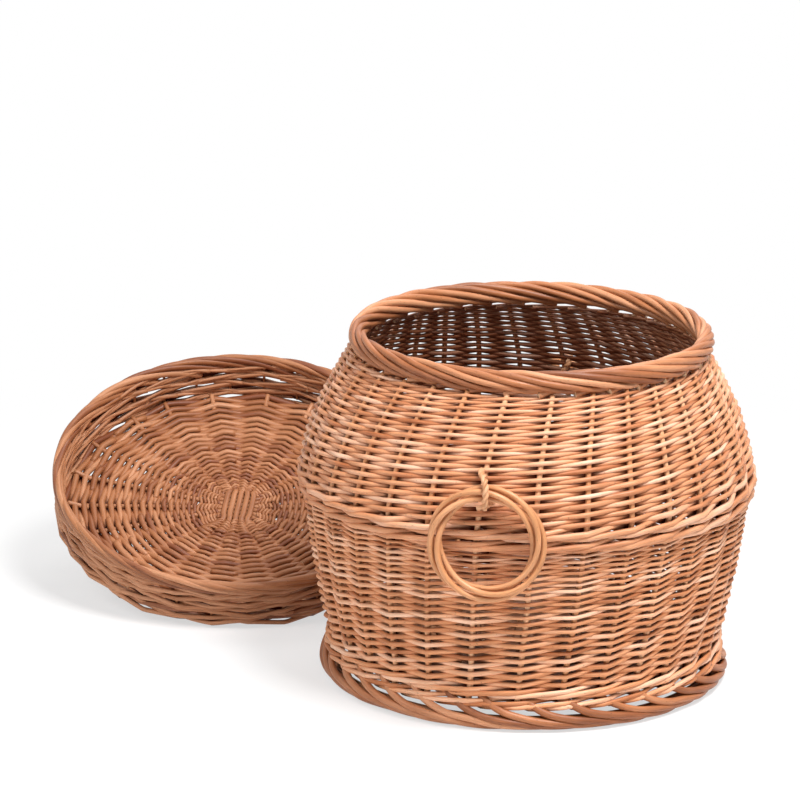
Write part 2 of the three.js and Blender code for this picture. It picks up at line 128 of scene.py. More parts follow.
# The photograph's view: the lens and where it points, from the foot of the hamper's axis
IMAGE_WIDTH = 800
FOCAL_PIXELS = 4732.0
SENSOR = 36.0
CAMERA_BEARING = math.radians(10.0)
CAMERA_PITCH = math.radians(15.84)
CAMERA_ROLL = math.radians(0.65)
CAMERA_DISTANCE = 5112.5
CAMERA_TARGET = (-138.1, 0.0, 300.6)


def unit(vectors: Array) -> Array:
    """Scales each row of an array of vectors to length one.

    Args:
        vectors: rows of x, y, z.

    Returns:
        The same rows, each of length one.
    """
    return vectors / np.maximum(np.linalg.norm(vectors, axis=-1, keepdims=True), SHORTEST)


def smooth_path(stops: Array, steps: int, closed: bool = False) -> Array:
    """Runs a Catmull-Rom curve through a few stops.

    Args:
        stops: rows of coordinates, in order.
        steps: points on each stretch between two stops.
        closed: whether the curve returns to its first stop.

    Returns:
        Rows of coordinates along the curve.
    """
    stops = np.asarray(stops, float)
    if closed:
        around = np.vstack([stops[-1:], stops, stops[:2]])
    else:
        around = np.vstack([2 * stops[:1] - stops[1:2], stops, 2 * stops[-1:] - stops[-2:-1]])
    t = np.arange(steps)[:, None] / steps
    pieces = []
    for a, b, c, d in zip(around[:-3], around[1:-2], around[2:-1], around[3:]):
        cubic = (3 * b - a - 3 * c + d) * t**3
        pieces.append(0.5 * (2 * b + (c - a) * t + (2 * a - 5 * b + 4 * c - d) * t**2 + cubic))
    if not closed:
        pieces.append(stops[-1:])
    return np.vstack(pieces)


def drift(rng: Generator, turns: Array, size: float, waves: int = 9) -> Array:
    """A slow wander that closes on itself after a whole turn.

    Args:
        rng: the source of chance.
        turns: places round the piece, in turns.
        size: about how far it strays, in millimetres.
        waves: the finest wander, in waves for each turn.

    Returns:
        The wander at each place, in millimetres.
    """
    total = np.zeros_like(turns)
    for wave in range(2, waves):
        swing = rng.normal(0, size / math.sqrt(waves))
        total = total + swing * np.cos(FULL_TURN * wave * turns + rng.uniform(0, FULL_TURN))
    return total


def eased(share: Array) -> Array:
    """Lets a share that runs evenly from 0 to 1 set off and arrive slowly."""
    return share**2 * (3 - 2 * share)


def own_shade(rng: Generator, middle: float, spread: float, margin: float = 0.0) -> float:
    """A rod's own shade, from 0, dark, to 1, light.

    Args:
        rng: the source of chance.
        middle: the usual shade.
        spread: how much it varies.
        margin: how near to 0 and 1 it may come.

    Returns:
        The shade.
    """
    return float(np.clip(rng.normal(middle, spread), margin, 1 - margin))


def kinked(near: Array) -> Array:
    """How a strand passes a stake: straight strokes with a tight bend at each stake.

    Args:
        near: distance from the stake that it goes behind, in bays, up to 1 at the stake that it goes before.

    Returns:
        From -1 behind a stake to 1 in front of one.
    """
    return -np.arcsin(BEND_SHARPNESS * np.cos(np.pi * near)) / math.asin(BEND_SHARPNESS)


def beside(distance: Array, reach: float) -> Array:
    """How far a strand is hidden by the strands that cross the same stake on its other side.

    Args:
        distance: distance from that stake, in bays.
        reach: how far from the stake it stays hidden, in bays.

    Returns:
        From 0, open, to 1, hidden.
    """
    return np.clip((reach - distance) / HIDING_FADE + 0.5, 0, 1)


class Part(Enum):
    """The frame's bodies that pieces ride on."""

    HAMPER = "hamper"
    LID = "lid"
    HANDLE_FRONT = "handle_front"
    HANDLE_BACK = "handle_back"


class Strand(Enum):
    """How a strand passes the stakes: in front of how many, then behind how many."""

    RANDING = (1, 1)
    WALING = (2, 1)
    TWILL = (2, 2)


@dataclass
class RodBundle:
    """The rods of one piece, gathered into one mesh."""

    name: str
    sides: int = 8
    points: list[Array] = field(default_factory=list)
    grain: list[Array] = field(default_factory=list)
    tones: list[Array] = field(default_factory=list)
    painted_shades: list[Array] = field(default_factory=list)
    loops: list[Array] = field(default_factory=list)
    sizes: list[Array] = field(default_factory=list)
    count: int = 0

    def add(
        self,
        line: Array,
        radius: Array | float,
        guide: Array,
        tone: float,
        flatness: float = 1.0,
        closed: bool = False,
        hidden: tuple[Array | float, Array | float] = (0.0, 0.0),
    ) -> None:
        """Adds one rod along a line.

        Args:
            line: the rod's centre line, in millimetres.
            radius: the rod's radius, one value or one for each point.
            guide: the direction, at each point, across which a flattened rod is thin.
            tone: the rod's own shade, from 0, dark, to 1, light.
            flatness: its thickness along the guide, as a share of its width.
            closed: whether the rod joins its own start.
            hidden: how far its side towards the guide and its other side are hidden, from 0 to 1, for painted
                shade.
        """
        steps = len(line)
        radius = np.broadcast_to(np.asarray(radius, float), steps)
        ahead = np.roll(line, -1, 0) - np.roll(line, 1, 0) if closed else np.gradient(line, axis=0)
        ahead = unit(ahead)
        guide = np.broadcast_to(guide, line.shape)
        first = unit(guide - ahead * np.sum(guide * ahead, axis=1, keepdims=True))
        second = np.cross(ahead, first)
        angle = np.arange(self.sides) / self.sides * FULL_TURN
        across = radius[:, None] * np.cos(angle) * flatness
        along = radius[:, None] * np.sin(angle)
        aside = across[..., None] * first[:, None, :] + along[..., None] * second[:, None, :]
        travel = np.concatenate([[0.0], np.cumsum(np.linalg.norm(np.diff(line, axis=0), axis=1))])
        lengthwise = np.broadcast_to(travel[:, None], across.shape)

        rows = steps if closed else steps - 1
        here = np.arange(rows)[:, None] * self.sides
        following = (here + self.sides) % (steps * self.sides)
        side = np.arange(self.sides)[None, :]
        after = (side + 1) % self.sides
        quads = np.stack([here + side, here + after, following + after, following + side], axis=-1)
        self.loops.append(quads.reshape(-1) + self.count)
        self.sizes.append(np.full(rows * self.sides, QUAD))
        if not closed:
            last = (steps - 1) * self.sides
            self.loops.append(np.arange(self.sides)[::-1] + self.count)
            self.loops.append(np.arange(self.sides) + last + self.count)
            self.sizes.append(np.full(2, self.sides))
        self.points.append((line[:, None, :] + aside).reshape(-1, 3))
        self.grain.append(np.stack([lengthwise, across, along], axis=-1).reshape(-1, 3))
        self.tones.append(np.full(steps * self.sides, tone))
        # The hidden shares become a painted-shade share at each point, by which the material darkens the rod
        outer, inner = (np.broadcast_to(np.asarray(share, float), steps)[:, None] for share in hidden)
        facing = np.cos(angle)[None, :]
        recess = outer * np.clip(OUTER_WRAP + facing, 0, 1)
        recess = recess + inner * np.clip(INNER_WRAP - (1 + INNER_WRAP) * facing, 0, 1)
        self.painted_shades.append(np.clip(recess, 0, 1).reshape(-1))
        self.count += steps * self.sides

    def to_object(self, placing: Matrix, material: Material) -> Object:
        """Makes the mesh object, in metres and in place.

        Args:
            placing: takes the piece's own millimetres to the frame's millimetres.
            material: the finish of all its rods.

        Returns:
            The linked object.
        """
        turn = np.array(placing.to_3x3())
        shift = np.array(placing.translation)
        points = (np.vstack(self.points) @ turn.T + shift) * MM
        loops = np.concatenate(self.loops).astype(np.int32)
        sizes = np.concatenate(self.sizes)
        starts = np.concatenate([[0], np.cumsum(sizes)[:-1]]).astype(np.int32)
        mesh = bpy.data.meshes.new(self.name)
        mesh.vertices.add(len(points))
        mesh.vertices.foreach_set("co", points.astype(np.float32).ravel())
        mesh.loops.add(len(loops))
        mesh.loops.foreach_set("vertex_index", loops)
        mesh.polygons.add(len(starts))
        mesh.polygons.foreach_set("loop_start", starts)
        mesh.polygons.foreach_set("use_smooth", sizes == QUAD)
        stored = {
            ("grain", "FLOAT_VECTOR", "POINT"): np.vstack(self.grain),
            ("tone", "FLOAT", "POINT"): np.concatenate(self.tones),
            ("recess", "FLOAT", "POINT"): np.concatenate(self.painted_shades),
            ("cut", "FLOAT", "FACE"): sizes != QUAD,
        }
        for (name, kind, domain), values in stored.items():
            field_name = "vector" if kind == "FLOAT_VECTOR" else "value"
            attribute = mesh.attributes.new(name, kind, domain)
            attribute.data.foreach_set(field_name, values.astype(np.float32).ravel())
        mesh.update(calc_edges=True)
        mesh.materials.append(material)
        return put_in_scene(self.name, mesh)


def put_in_scene(name: str, data: bpy.types.ID) -> Object:
    """Makes an object around a mesh, a lamp or a camera, and links it to the scene.

    Args:
        name: the object's name.
        data: what it shows.

    Returns:
        The object.
    """
    made = bpy.data.objects.new(name, data)
    bpy.context.scene.collection.objects.link(made)
    return made


def to_linear(colour: int) -> tuple[float, float, float, float]:
    """Turns an sRGB hex colour, such as 0xd29a67, to linear red, green and blue and an alpha of one."""
    channels = [((colour >> shift) & 255) / 255 for shift in (16, 8, 0)]
    linear = [c / 12.92 if c <= 0.04045 else ((c + 0.055) / 1.055) ** 2.4 for c in channels]
    return (*linear, 1.0)


def bare_tree(owner: Material | bpy.types.World) -> NodeTree:
    """Gives a material or a world an empty node tree."""
    owner.use_nodes = True
    owner.node_tree.nodes.clear()
    return owner.node_tree


def add_node(tree: NodeTree, kind: str, settings: dict | None = None, inputs: dict | None = None) -> Node:
    """Adds a node with its settings, values and links.

    Args:
        tree: the material's or world's node tree.
        kind: the node's type name.
        settings: properties of the node.
        inputs: for each input socket, by name or number, a value or the socket that feeds it.

    Returns:
        The new node.
    """
    node = tree.nodes.new(kind)
    for name, value in (settings or {}).items():
        setattr(node, name, value)
    for name, value in (inputs or {}).items():
        if isinstance(value, NodeSocket):
            tree.links.new(value, node.inputs[name])
        else:
            node.inputs[name].default_value = value
    return node


def work_out(
    tree: NodeTree, operation: str, first: object, second: object, kind: str = "ShaderNodeMath"
) -> NodeSocket:
    """Adds a node that works out one value from two.

    Args:
        tree: the material's or world's node tree.
        operation: what the node does with them.
        first: a value, or the socket that feeds it.
        second: the same.
        kind: the node's type name.

    Returns:
        The socket with the result.
    """
    return add_node(tree, kind, {"operation": operation}, {0: first, 1: second}).outputs[0]


def remap(tree: NodeTree, value: NodeSocket, taken: Span, given: Span, way: str = "LINEAR") -> NodeSocket:
    """Adds a node that brings one range of values to another.

    Args:
        tree: the material's or world's node tree.
        value: the socket that it reads.
        taken: the two ends of the range that it reads.
        given: what they become.
        way: how the values between them run.

    Returns:
        The socket with the new values.
    """
    names = ("Value", "From Min", "From Max", "To Min", "To Max")
    inputs = dict(zip(names, (value, *taken, *given)))
    return add_node(tree, "ShaderNodeMapRange", {"interpolation_type": way}, inputs).outputs["Result"]


@dataclass(frozen=True)
class BuffWillow:
    """Buff willow rods, boiled in their bark and then stripped.

    Boiling stains the wood a warm orange-brown, each rod to its own depth. Stripping leaves a smooth, faintly
    waxy skin with fine lengthwise streaks, so the eye gets soft narrow highlights along every rod. The sizes
    of a pattern's features are given along and across the rod, in millimetres.
    """

    name: str
    light: int
    middle: int
    dark: int
    core: int = 0xE9C9A4
    # The colour that a rod's hidden parts are painted towards, as shade
    inner: int = 0x662C10
    stain_places: tuple[float, float, float] = (0.05, 0.5, 0.95)
    noise_span: Span = (0.3, 0.7)
    streak_size: Span = (22.0, 0.9)
    streak_shades: Span = (0.8, 1.07)
    blotch_size: Span = (60.0, 15.0)
    blotch_depth: float = 0.22
    speck_size: Span = (3.4, 1.9)
    speck_span: Span = (0.68, 0.76)
    speck_shade: float = 0.62
    roughness: float = 0.46
    roughness_swing: Span = (0.1, -0.07)
    refraction: float = 1.46
    # Specular level of a rod's open parts and of its parts in painted shade
    shine: Span = (0.5, 0.1)
    bump_mm: float = 0.12
    bump_strength: float = 0.5
    pattern_reach: float = 977.0

    def material(self) -> Material:
        """Builds the material.

        Returns:
            A procedural material from each rod's grain, tone and cut ends, with painted shade on its hidden
            parts.
        """
        made = bpy.data.materials.new(self.name)
        tree = bare_tree(made)
        grain, tone, recess, cut = (
            add_node(tree, "ShaderNodeAttribute", {"attribute_name": name}).outputs[output]
            for name, output in (("grain", "Vector"), ("tone", "Fac"), ("recess", "Fac"), ("cut", "Fac"))
        )

        # Each rod takes its own stretch of every pattern
        apart = work_out(tree, "MULTIPLY", tone, self.pattern_reach)
        offset = add_node(tree, "ShaderNodeCombineXYZ", inputs={"X": apart}).outputs[0]

        def pattern(size: Span, detail: float) -> NodeSocket:
            """A noise in the rod's own coordinates.

            Args:
                size: how long a feature is along the rod, and how wide across it.
                detail: how many finer noises are laid over it.

            Returns:
                The socket with its strength.
            """
            length, width = size
            scale = (1 / length, 1 / width, 1 / width)
            sized = work_out(tree, "MULTIPLY", grain, scale, "ShaderNodeVectorMath")
            moved = work_out(tree, "ADD", sized, offset, "ShaderNodeVectorMath")
            inputs = {"Vector": moved, "Scale": 1.0, "Detail": detail}
            return add_node(tree, "ShaderNodeTexNoise", inputs=inputs).outputs["Fac"]

        def blend(share: NodeSocket, first: object, second: int) -> NodeSocket:
            """A colour that goes over into another.

            Args:
                share: how far it has gone over.
                first: the colour, linear, or the socket that feeds it.
                second: the other one, as sRGB hex.

            Returns:
                The socket with the mixed colour.
            """
            inputs = {"Factor": share, "A": first, "B": to_linear(second)}
            return add_node(tree, "ShaderNodeMix", {"data_type": "RGBA"}, inputs).outputs["Result"]

        streaks = pattern(self.streak_size, detail=4.0)
        blotches = pattern(self.blotch_size, detail=3.0)
        specks = pattern(self.speck_size, detail=1.0)

        # The rod's depth of stain, from its own tone and the slow blotches along it
        wander = remap(tree, blotches, self.noise_span, (-self.blotch_depth, self.blotch_depth))
        stain = add_node(tree, "ShaderNodeValToRGB", inputs={"Fac": work_out(tree, "ADD", tone, wander)})
        places = stain.color_ramp.elements
        places.new(0.5)
        for element, place, colour in zip(places, self.stain_places, (self.dark, self.middle, self.light)):
            element.position = place
            element.color = to_linear(colour)

        # Streaks darken it in fine lines, and a few scars of buds in small spots
        streak_shade = remap(tree, streaks, self.noise_span, self.streak_shades)
        speck_shade = remap(tree, specks, self.speck_span, (1.0, self.speck_shade))
        shade = work_out(tree, "MULTIPLY", streak_shade, speck_shade)
        shaded = {0: stain.outputs["Color"], "Scale": shade}
        skin = add_node(tree, "ShaderNodeVectorMath", {"operation": "SCALE"}, shaded).outputs[0]

        # Painted shade: where a rod is hidden beside a stake or inside a wall, its colour goes darker and
        # redder
        painted_shade_tint = blend(recess, WHITE, self.inner)
        skin_in_painted_shade = work_out(tree, "MULTIPLY", skin, painted_shade_tint, "ShaderNodeVectorMath")

        # Where a rod is cut off, its pale inner wood shows
        colour = blend(cut, skin_in_painted_shade, self.core)
        relief = {
            "Strength": self.bump_strength,
            "Distance": self.bump_mm * MM,
            "Height": work_out(tree, "ADD", streaks, blotches),
        }
        dullness = tuple(self.roughness + swing for swing in self.roughness_swing)
        surface = {
            "Base Color": colour,
            "Roughness": remap(tree, streaks, self.noise_span, dullness),
            "Normal": add_node(tree, "ShaderNodeBump", inputs=relief).outputs["Normal"],
            "IOR": self.refraction,
            # Specular is lowered where the shade is painted: a painted loss of reflection
            "Specular IOR Level": remap(tree, recess, (0.0, 1.0), self.shine),
            "Metallic": 0.0,
        }
        willow = add_node(tree, "ShaderNodeBsdfPrincipled", inputs=surface)
        add_node(tree, "ShaderNodeOutputMaterial", inputs={"Surface": willow.outputs["BSDF"]})
        return made


LOWER_ROD = BuffWillow("buff_willow_lower_siding_boiled_and_stripped", 0xF7C7A6, 0xE09A6A, 0xB46C3E)
UPPER_ROD = BuffWillow("buff_willow_upper_siding_boiled_and_stripped", 0xF4C9AC, 0xDA976B, 0xAA6236)
STAKE = BuffWillow("buff_willow_stakes_boiled_and_stripped", 0xEAB88E, 0xD69666, 0xAE6E42)
# The base's rods are dark all over: painted shade for the inside of the hamper, where the base lies
BASE_ROD = BuffWillow("buff_willow_base_boiled_and_painted_in_shade", 0x8A5C3C, 0x6E452A, 0x4E2E1A, roughness=0.6)
BORDER = BuffWillow("buff_willow_border_boiled_and_stripped", 0xCE9068, 0xB06E44, 0x824826, roughness=0.45)
# The lid's rods are darker than the side's: painted shade for the softer light on the lid
LID_ROD = BuffWillow("buff_willow_lid_boiled_and_stripped", 0xC28862, 0xA66A42, 0x7C4222, roughness=0.5)
RING = BuffWillow("buff_willow_ring_boiled_and_wound", 0xE6AA7E, 0xD09060, 0xA8683E, roughness=0.4)
TIE = BuffWillow("buff_willow_tie_twisted", 0xE4B088, 0xCF9468, 0xAA6E46, roughness=0.5)


class Warp(ABC):
    """The stakes or spokes of a woven face, and the face's own shape."""

    count: int

    @abstractmethod
    def place(self, stake: Array, s: Array | float, off: Array | float) -> tuple[Array, Array]:
        """Finds points on the face.

        Args:
            stake: places round it, counted in stakes.
            s: distance along the face, in millimetres.
            off: distance out of the face, in millimetres.

        Returns:
            The points, and the direction out of the face at each.
        """

    @abstractmethod
    def chord(self, stake: Array, s: Array) -> tuple[Array, Array]:
        """How far a straight stroke from stake to stake lies off the face.

        Args:
            stake: places round it, counted in stakes.
            s: distance along the face, in millimetres.

        Returns:
            The shift along the face and the shift out of it, in millimetres.
        """

    def dip(self, stake: Array) -> Array:
        """A chord's depth below the turn that it cuts across, as a share of the turn's radius."""
        part = stake - np.floor(stake)
        return part * (1 - part) * (FULL_TURN / self.count) ** 2 / 2


@dataclass
class WallWarp(Warp):
    """An upright face that goes right round: a line of radius against height, with stakes."""

    count: int
    radius: Array
    height: Array

    def __post_init__(self) -> None:
        """Measures the line."""
        steps = np.hypot(np.diff(self.radius), np.diff(self.height))
        self.travel = np.concatenate([[0.0], np.cumsum(steps)])
        self.slope = unit(np.stack([np.gradient(self.radius), np.gradient(self.height)], axis=1))

    def arc_at(self, height: float) -> float:
        """The distance along the line at which it reaches a height."""
        return float(np.interp(height, self.height, self.travel))

    def bearing(self, stake: Array, height: Array) -> Array:
        """The bearing of places counted in stakes.

        Args:
            stake: places round the face, counted in stakes.
            height: the height of each, which leaning stakes need.

        Returns:
            Bearings in radians.
        """
        return FULL_TURN * stake / self.count - math.pi / 2

    def chord(self, stake: Array, s: Array) -> tuple[Array, Array]:
        """The shifts of a straight stroke: inwards. See Warp.chord."""
        return np.zeros_like(stake), -np.interp(s, self.travel, self.radius) * self.dip(stake)

    def place(self, stake: Array, s: Array | float, off: Array | float) -> tuple[Array, Array]:
        """Finds points on the wall. See Warp.place."""
        stake = np.asarray(stake, float)
        s = np.broadcast_to(s, stake.shape)
        radius = np.interp(s, self.travel, self.radius)
        height = np.interp(s, self.travel, self.height)
        along_r = np.interp(s, self.travel, self.slope[:, 0])
        along_z = np.interp(s, self.travel, self.slope[:, 1])
        bearing = self.bearing(stake, height)
        out = np.stack([along_z * np.cos(bearing), along_z * np.sin(bearing), -along_r], axis=1)
        base = np.stack([radius * np.cos(bearing), radius * np.sin(bearing), height], axis=1)
        return base + out * np.broadcast_to(off, stake.shape)[:, None], unit(out)


class HamperWarp(WallWarp):
    """The hamper's side, with its stakes as unevenly set as the photograph shows them."""

    def bearing(self, stake: Array, height: Array) -> Array:
        """The bearing of places counted in stakes. See WallWarp.bearing."""
        bays = np.mod(stake - 0.5 + STAKES / 2, STAKES) - STAKES / 2
        about = bays / STAKES * FULL_TURN
        whole_turns = (stake - 0.5) / STAKES * FULL_TURN - about
        from_back = np.where(bays > 0, bays - STAKES / 2, bays + STAKES / 2)
        aside = HANDLE_SPREAD * (self.pushed_aside(bays) + self.pushed_aside(from_back))
        steady = WIDE_GAP_BEARING + about + FRONT_SPREAD * np.sin(about) + aside
        return steady + whole_turns + self.twist(height)

    @staticmethod
    def pushed_aside(bays: Array) -> Array:
        """How far a stake is pushed away from a handle's wide gap, as a share."""
        return np.tanh(bays) * np.exp(-((bays / HANDLE_SPREAD_BAYS) ** 4))

    @staticmethod
    def twist(height: Array) -> Array:
        """How far the stakes have come round at a height, from where they stand at the shoulder."""
        low = -LOWER_TWIST * (TWIST_MIDDLE - height) / (TWIST_MIDDLE - UPSETT_TOP)
        share = np.maximum(height - TWIST_MIDDLE, 0) / (SHOULDER_TOP - TWIST_MIDDLE)
        return np.where(height < TWIST_MIDDLE, low, UPPER_TWIST * share**TWIST_CURVE)


@dataclass
class Cross:
    """The crossed sticks in the middle of a woven disc: split ones, and others threaded through them.

    A split stick's halves reach split_reach past the threaded sticks and close over split_slope. How far a
    half is lifted and how broad it is are shares of the stick's radius, and its flatness one of its breadth.
    """

    split: int
    threaded: int
    split_pitch: float
    threaded_pitch: float
    radius: float
    reach: float
    fan_start: float = 62.0
    fan_bend: float = 0.65
    parallel_stop: float = 0.55
    split_past: float = 7.0
    threaded_past: float = 2.0
    split_reach: float = 12.0
    split_slope: float = 8.0
    whole_from: float = 2.0
    half_lift: float = 0.42
    half_breadth: float = 1.04
    half_flatness: float = 0.52
    taper: float = 0.1
    steps: int = 8

    def __post_init__(self) -> None:
        """Works out how far the sticks lie side by side."""
        self.step = math.pi / (self.split + self.threaded)
        self.half_length = self.threaded * self.threaded_pitch / 2 + self.split_past
        self.half_width = self.split * self.split_pitch / 2 + self.threaded_past

    def arm(self, split: bool, index: int, end: int) -> Array:
        """One arm of a stick, from the middle of the cross outwards, seen from above.

        Args:
            split: whether the stick is one of the split ones.
            index: which stick of its set.
            end: 1 or -1 for its two arms.

        Returns:
            Rows of x and y, in millimetres.
        """
        count = self.split if split else self.threaded
        pitch = self.split_pitch if split else self.threaded_pitch
        half = self.half_length if split else self.half_width
        place = index - (count - 1) / 2
        heading = (math.pi / 2 if split else 0.0) - place * self.step
        side = place * pitch * (1 if split else -1)
        parallel = np.array([[side, 0.0], [side, half * self.parallel_stop], [side, half]])
        if not split:
            parallel = parallel[:, ::-1]
        radii = np.array([self.fan_start, self.reach * self.fan_bend, self.reach])
        fan = np.stack([radii * math.cos(heading), radii * math.sin(heading)], axis=1)
        mirror = np.array([1, end]) if split else np.array([end, 1])
        return smooth_path(np.vstack([parallel, fan]), self.steps) * mirror

    def arms(self) -> list[Array]:
        """All the arms, in the order of their bearings."""
        found = [self.arm(True, k, end) for k in range(self.split) for end in (1, -1)]
        found += [self.arm(False, k, end) for k in range(self.threaded) for end in (1, -1)]
        return sorted(found, key=lambda arm: math.atan2(arm[-1, 1], arm[-1, 0]))


@dataclass
class DiscWarp(Warp):
    """A flat or crowned disc with spokes that fan out of a cross."""

    cross: Cross
    middle: float
    crown: float = 0.0
    crown_radius: float = 200.0
    squareness: float = 3.0
    rounding: float = 16.0
    first_row: float = 24.0
    table_margin: float = 2.0
    table_rows: int = 60

    def __post_init__(self) -> None:
        """Tabulates each spoke's bearing against its distance from the middle."""
        arms = self.cross.arms()
        self.count = len(arms)
        self.radii = np.linspace(self.first_row - self.table_margin, self.cross.reach, self.table_rows)
        rows = []
        for arm in arms:
            radius = np.hypot(arm[:, 0], arm[:, 1])
            rows.append(np.interp(self.radii, radius, np.unwrap(np.arctan2(arm[:, 1], arm[:, 0]))))
        self.bearings = np.array(rows)

    def height(self, radius: Array | float) -> Array | float:
        """The height of the spokes' middle line at a distance from the centre."""
        return self.middle - self.crown * (1 - (radius / self.crown_radius) ** 2)

    def chord(self, stake: Array, s: Array) -> tuple[Array, Array]:
        """The shifts of a straight stroke: towards the middle. See Warp.chord."""
        return -s * self.dip(stake), np.zeros_like(stake)

    def place(self, stake: Array, s: Array | float, off: Array | float) -> tuple[Array, Array]:
        """Finds points on the disc. The innermost rows are nearly square. See Warp.place."""
        stake = np.asarray(stake, float)
        s = np.broadcast_to(s, stake.shape)
        at_row = np.array([np.interp(float(np.mean(s)), self.radii, row) for row in self.bearings])
        ring = np.concatenate([at_row, at_row[:1] + FULL_TURN])
        whole = np.floor(stake / self.count)
        bearing = np.interp(stake - whole * self.count, np.arange(self.count + 1), ring) + FULL_TURN * whole
        power = 2 + self.squareness * np.exp(-(s - self.first_row) / self.rounding)
        spread = np.abs(np.cos(bearing)) ** power + np.abs(np.sin(bearing)) ** power
        radius = s * spread ** (-1 / power)
        base = np.stack([radius * np.cos(bearing), radius * np.sin(bearing), self.height(radius)], axis=1)
        out = np.broadcast_to(UP, base.shape)
        return base + out * np.broadcast_to(off, stake.shape)[:, None], out


@dataclass
class Weaver:
    """Lays strands on a warp. Rods run out and are joined on the inside, where their cut ends show.

    A rod starts a few steps before its first stake and ends a few past its last one, and its ends lie off
    the face. Lengths round the face are in bays.
    """

    warp: Warp
    bundle: RodBundle
    rng: Generator
    inside: int = -1
    steps: int = 8
    steps_before: int = 3
    steps_past: int = 4
    lift_before: float = 0.1
    lift_past: float = 0.05
    end_lift: float = 8.0
    unevenness: float = 0.3
    tone_middle: float = 0.5
    tone_spread: float = 0.24
    tone_margin: float = 0.02
    # Painted shade: how far from a stake it reaches, in bays, and how much lies over a wall's inner side
    hidden_reach: float = 0.24
    inner_shade: float = 0.8
    tuck: float = 0.3
    climb_over: float = 3.0
    taper: Span = (1.06, 0.92)
    ripple: float = 0.03
    ripple_rate: float = 1.7
    thickness_spread: float = 0.06
    wobble_reach: float = 100.0

    def tone(self) -> float:
        """A rod's own shade. See own_shade."""
        return own_shade(self.rng, self.tone_middle, self.tone_spread, self.tone_margin)

    def samples(self, first: int, last: int, past: int) -> Array:
        """The places of a rod's points.

        Args:
            first: its first stake.
            last: its last stake.
            past: how many steps it goes on past that.

        Returns:
            Places round the face.
        """
        return np.arange(first * self.steps - self.steps_before, last * self.steps + past + 1) / self.steps

    def lifted(self, before: Array, past: Array) -> Array:
        """How far a rod's ends lie off the face, on its inner side.

        Args:
            before: how far each point lies before the rod's first stake.
            past: how far it lies past its last one.

        Returns:
            The distances, in millimetres.
        """
        started = np.clip(before + self.lift_before, 0, 1)
        return (started + np.clip(past - self.lift_past, 0, 1)) * self.end_lift

    def stroke(self, strand: Strand, phase: Array, near: Array) -> Array:
        """How far a strand has come on its way from one stroke's start to its end.

        Args:
            strand: how it passes the stakes.
            phase: places within its pattern.
            near: distance from the middle of the stakes that it goes behind.

        Returns:
            From -1 at the start of a stroke to 1 at its end.
        """
        period = sum(strand.value)
        if strand is not Strand.WALING:
            return -np.sin(FULL_TURN * phase / period)
        tucking = np.where(phase < period / 2, -1, 1) * np.sin(near / self.tuck * np.pi / 2)
        return np.where(near < self.tuck, tucking, (phase - period / 2) / (period / 2 - self.tuck))

    def lane(self, turns: Array, rounds: float, climb_at: float) -> Array:
        """Which round of a strand its points belong to, with a slow passage from each to the next.

        Args:
            turns: places in turns. A strand of several rounds starts in turn 1 and first climbs in turn 2.
            rounds: how many turns the strand covers.
            climb_at: where in the turn the passage lies.

        Returns:
            The round of each point, counted from 0.
        """
        whole = np.floor(turns)
        share = np.clip((turns - whole - climb_at) * self.warp.count / self.climb_over + 0.5, 0, 1)
        return np.clip(whole + eased(share) - 2, 0, rounds - 1)

    def strand(
        self,
        s: float,
        strand: Strand,
        shift: int,
        radius: float,
        swing: float,
        rise: float = 0.0,
        start: int | None = None,
        rounds: float = 1.0,
        climb: float = 0.0,
        climb_at: float = 0.5,
        rod_bays: tuple[int, int] = (12, 20),
        twist: float = 0.0,
    ) -> None:
        """Lays one strand, as several rods joined end to end.

        Args:
            s: where it lies along the warp, in millimetres.
            strand: how it passes the stakes.
            shift: the stake that it first goes behind.
            radius: the rods' radius, in millimetres.
            swing: how far it goes out and in, in millimetres.
            rise: how far each stroke climbs from its start to its end, each way from its middle.
            start: the stake at which it starts, any stake if not given.
            rounds: how many turns it covers.
            climb: how far it climbs after each whole turn, in millimetres.
            climb_at: where in the turn it climbs.
            rod_bays: the fewest and most bays that one rod covers.
            twist: how far it swerves aside between the stakes, as paired strands do.
        """
        count = self.warp.count
        start = int(self.rng.integers(count)) if start is None else start
        under = strand.value[1]
        period = sum(strand.value)
        wobble = self.rng.uniform(0, self.wobble_reach)
        place = start + (shift - start) % period
        stop = place + round(count * rounds)
        while place < stop:
            bays = int(self.rng.integers(rod_bays[0], rod_bays[1] + 1))
            reach = min(place + period * max(bays // period, 1), stop)
            u = self.samples(place, reach, self.steps_past)
            phase = (u - shift + (under - 1) / 2) % period
            near = np.minimum(phase, period - phase)
            level = s + climb * self.lane(u / count, rounds, climb_at)
            level = level + rise * self.stroke(strand, phase, near)
            near = np.clip(near - (under - 1) / 2, 0, 1)
            off = -self.inside * (swing * kinked(near) - self.lifted(place - u, u - reach))
            swerve = twist * np.sin(np.pi * (u - shift))
            stray = drift(self.rng, u / count + wobble, self.unevenness)
            points, out = self.lay(u, level + stray + swerve, off)
            rippled = 1 + self.ripple * np.cos(u * self.ripple_rate + wobble)
            thickness = radius * np.linspace(*self.taper, len(u)) * rippled
            self.bundle.add(points, thickness, out, self.tone(), hidden=self.hidden(near))
            place = reach

    def lay(self, u: Array, level: Array, off: Array) -> tuple[Array, Array]:
        """Places a strand's points on the warp, straight from stake to stake.

        Args:
            u: places counted in stakes.
            level: distance along the face.
            off: distance out of the face.

        Returns:
            The points, and the direction out of the face at each.
        """
        along, out = self.warp.chord(u, level)
        return self.warp.place(u, level + along, off + out)

    def hidden(self, near: Array) -> tuple[Array, Array]:
        """How far a strand's outer and inner sides are hidden, which the material paints as shade.

        Args:
            near: distance from the stake that it goes behind, in bays.

        Returns:
            The shares for its outer and inner side. A wall's inner side is painted in shade at least
            inner_shade.
        """
        behind = beside(near, self.hidden_reach)
        before = beside(1 - near, self.hidden_reach)
        return (behind, np.maximum(before, self.inner_shade)) if self.inside < 0 else (before, behind)

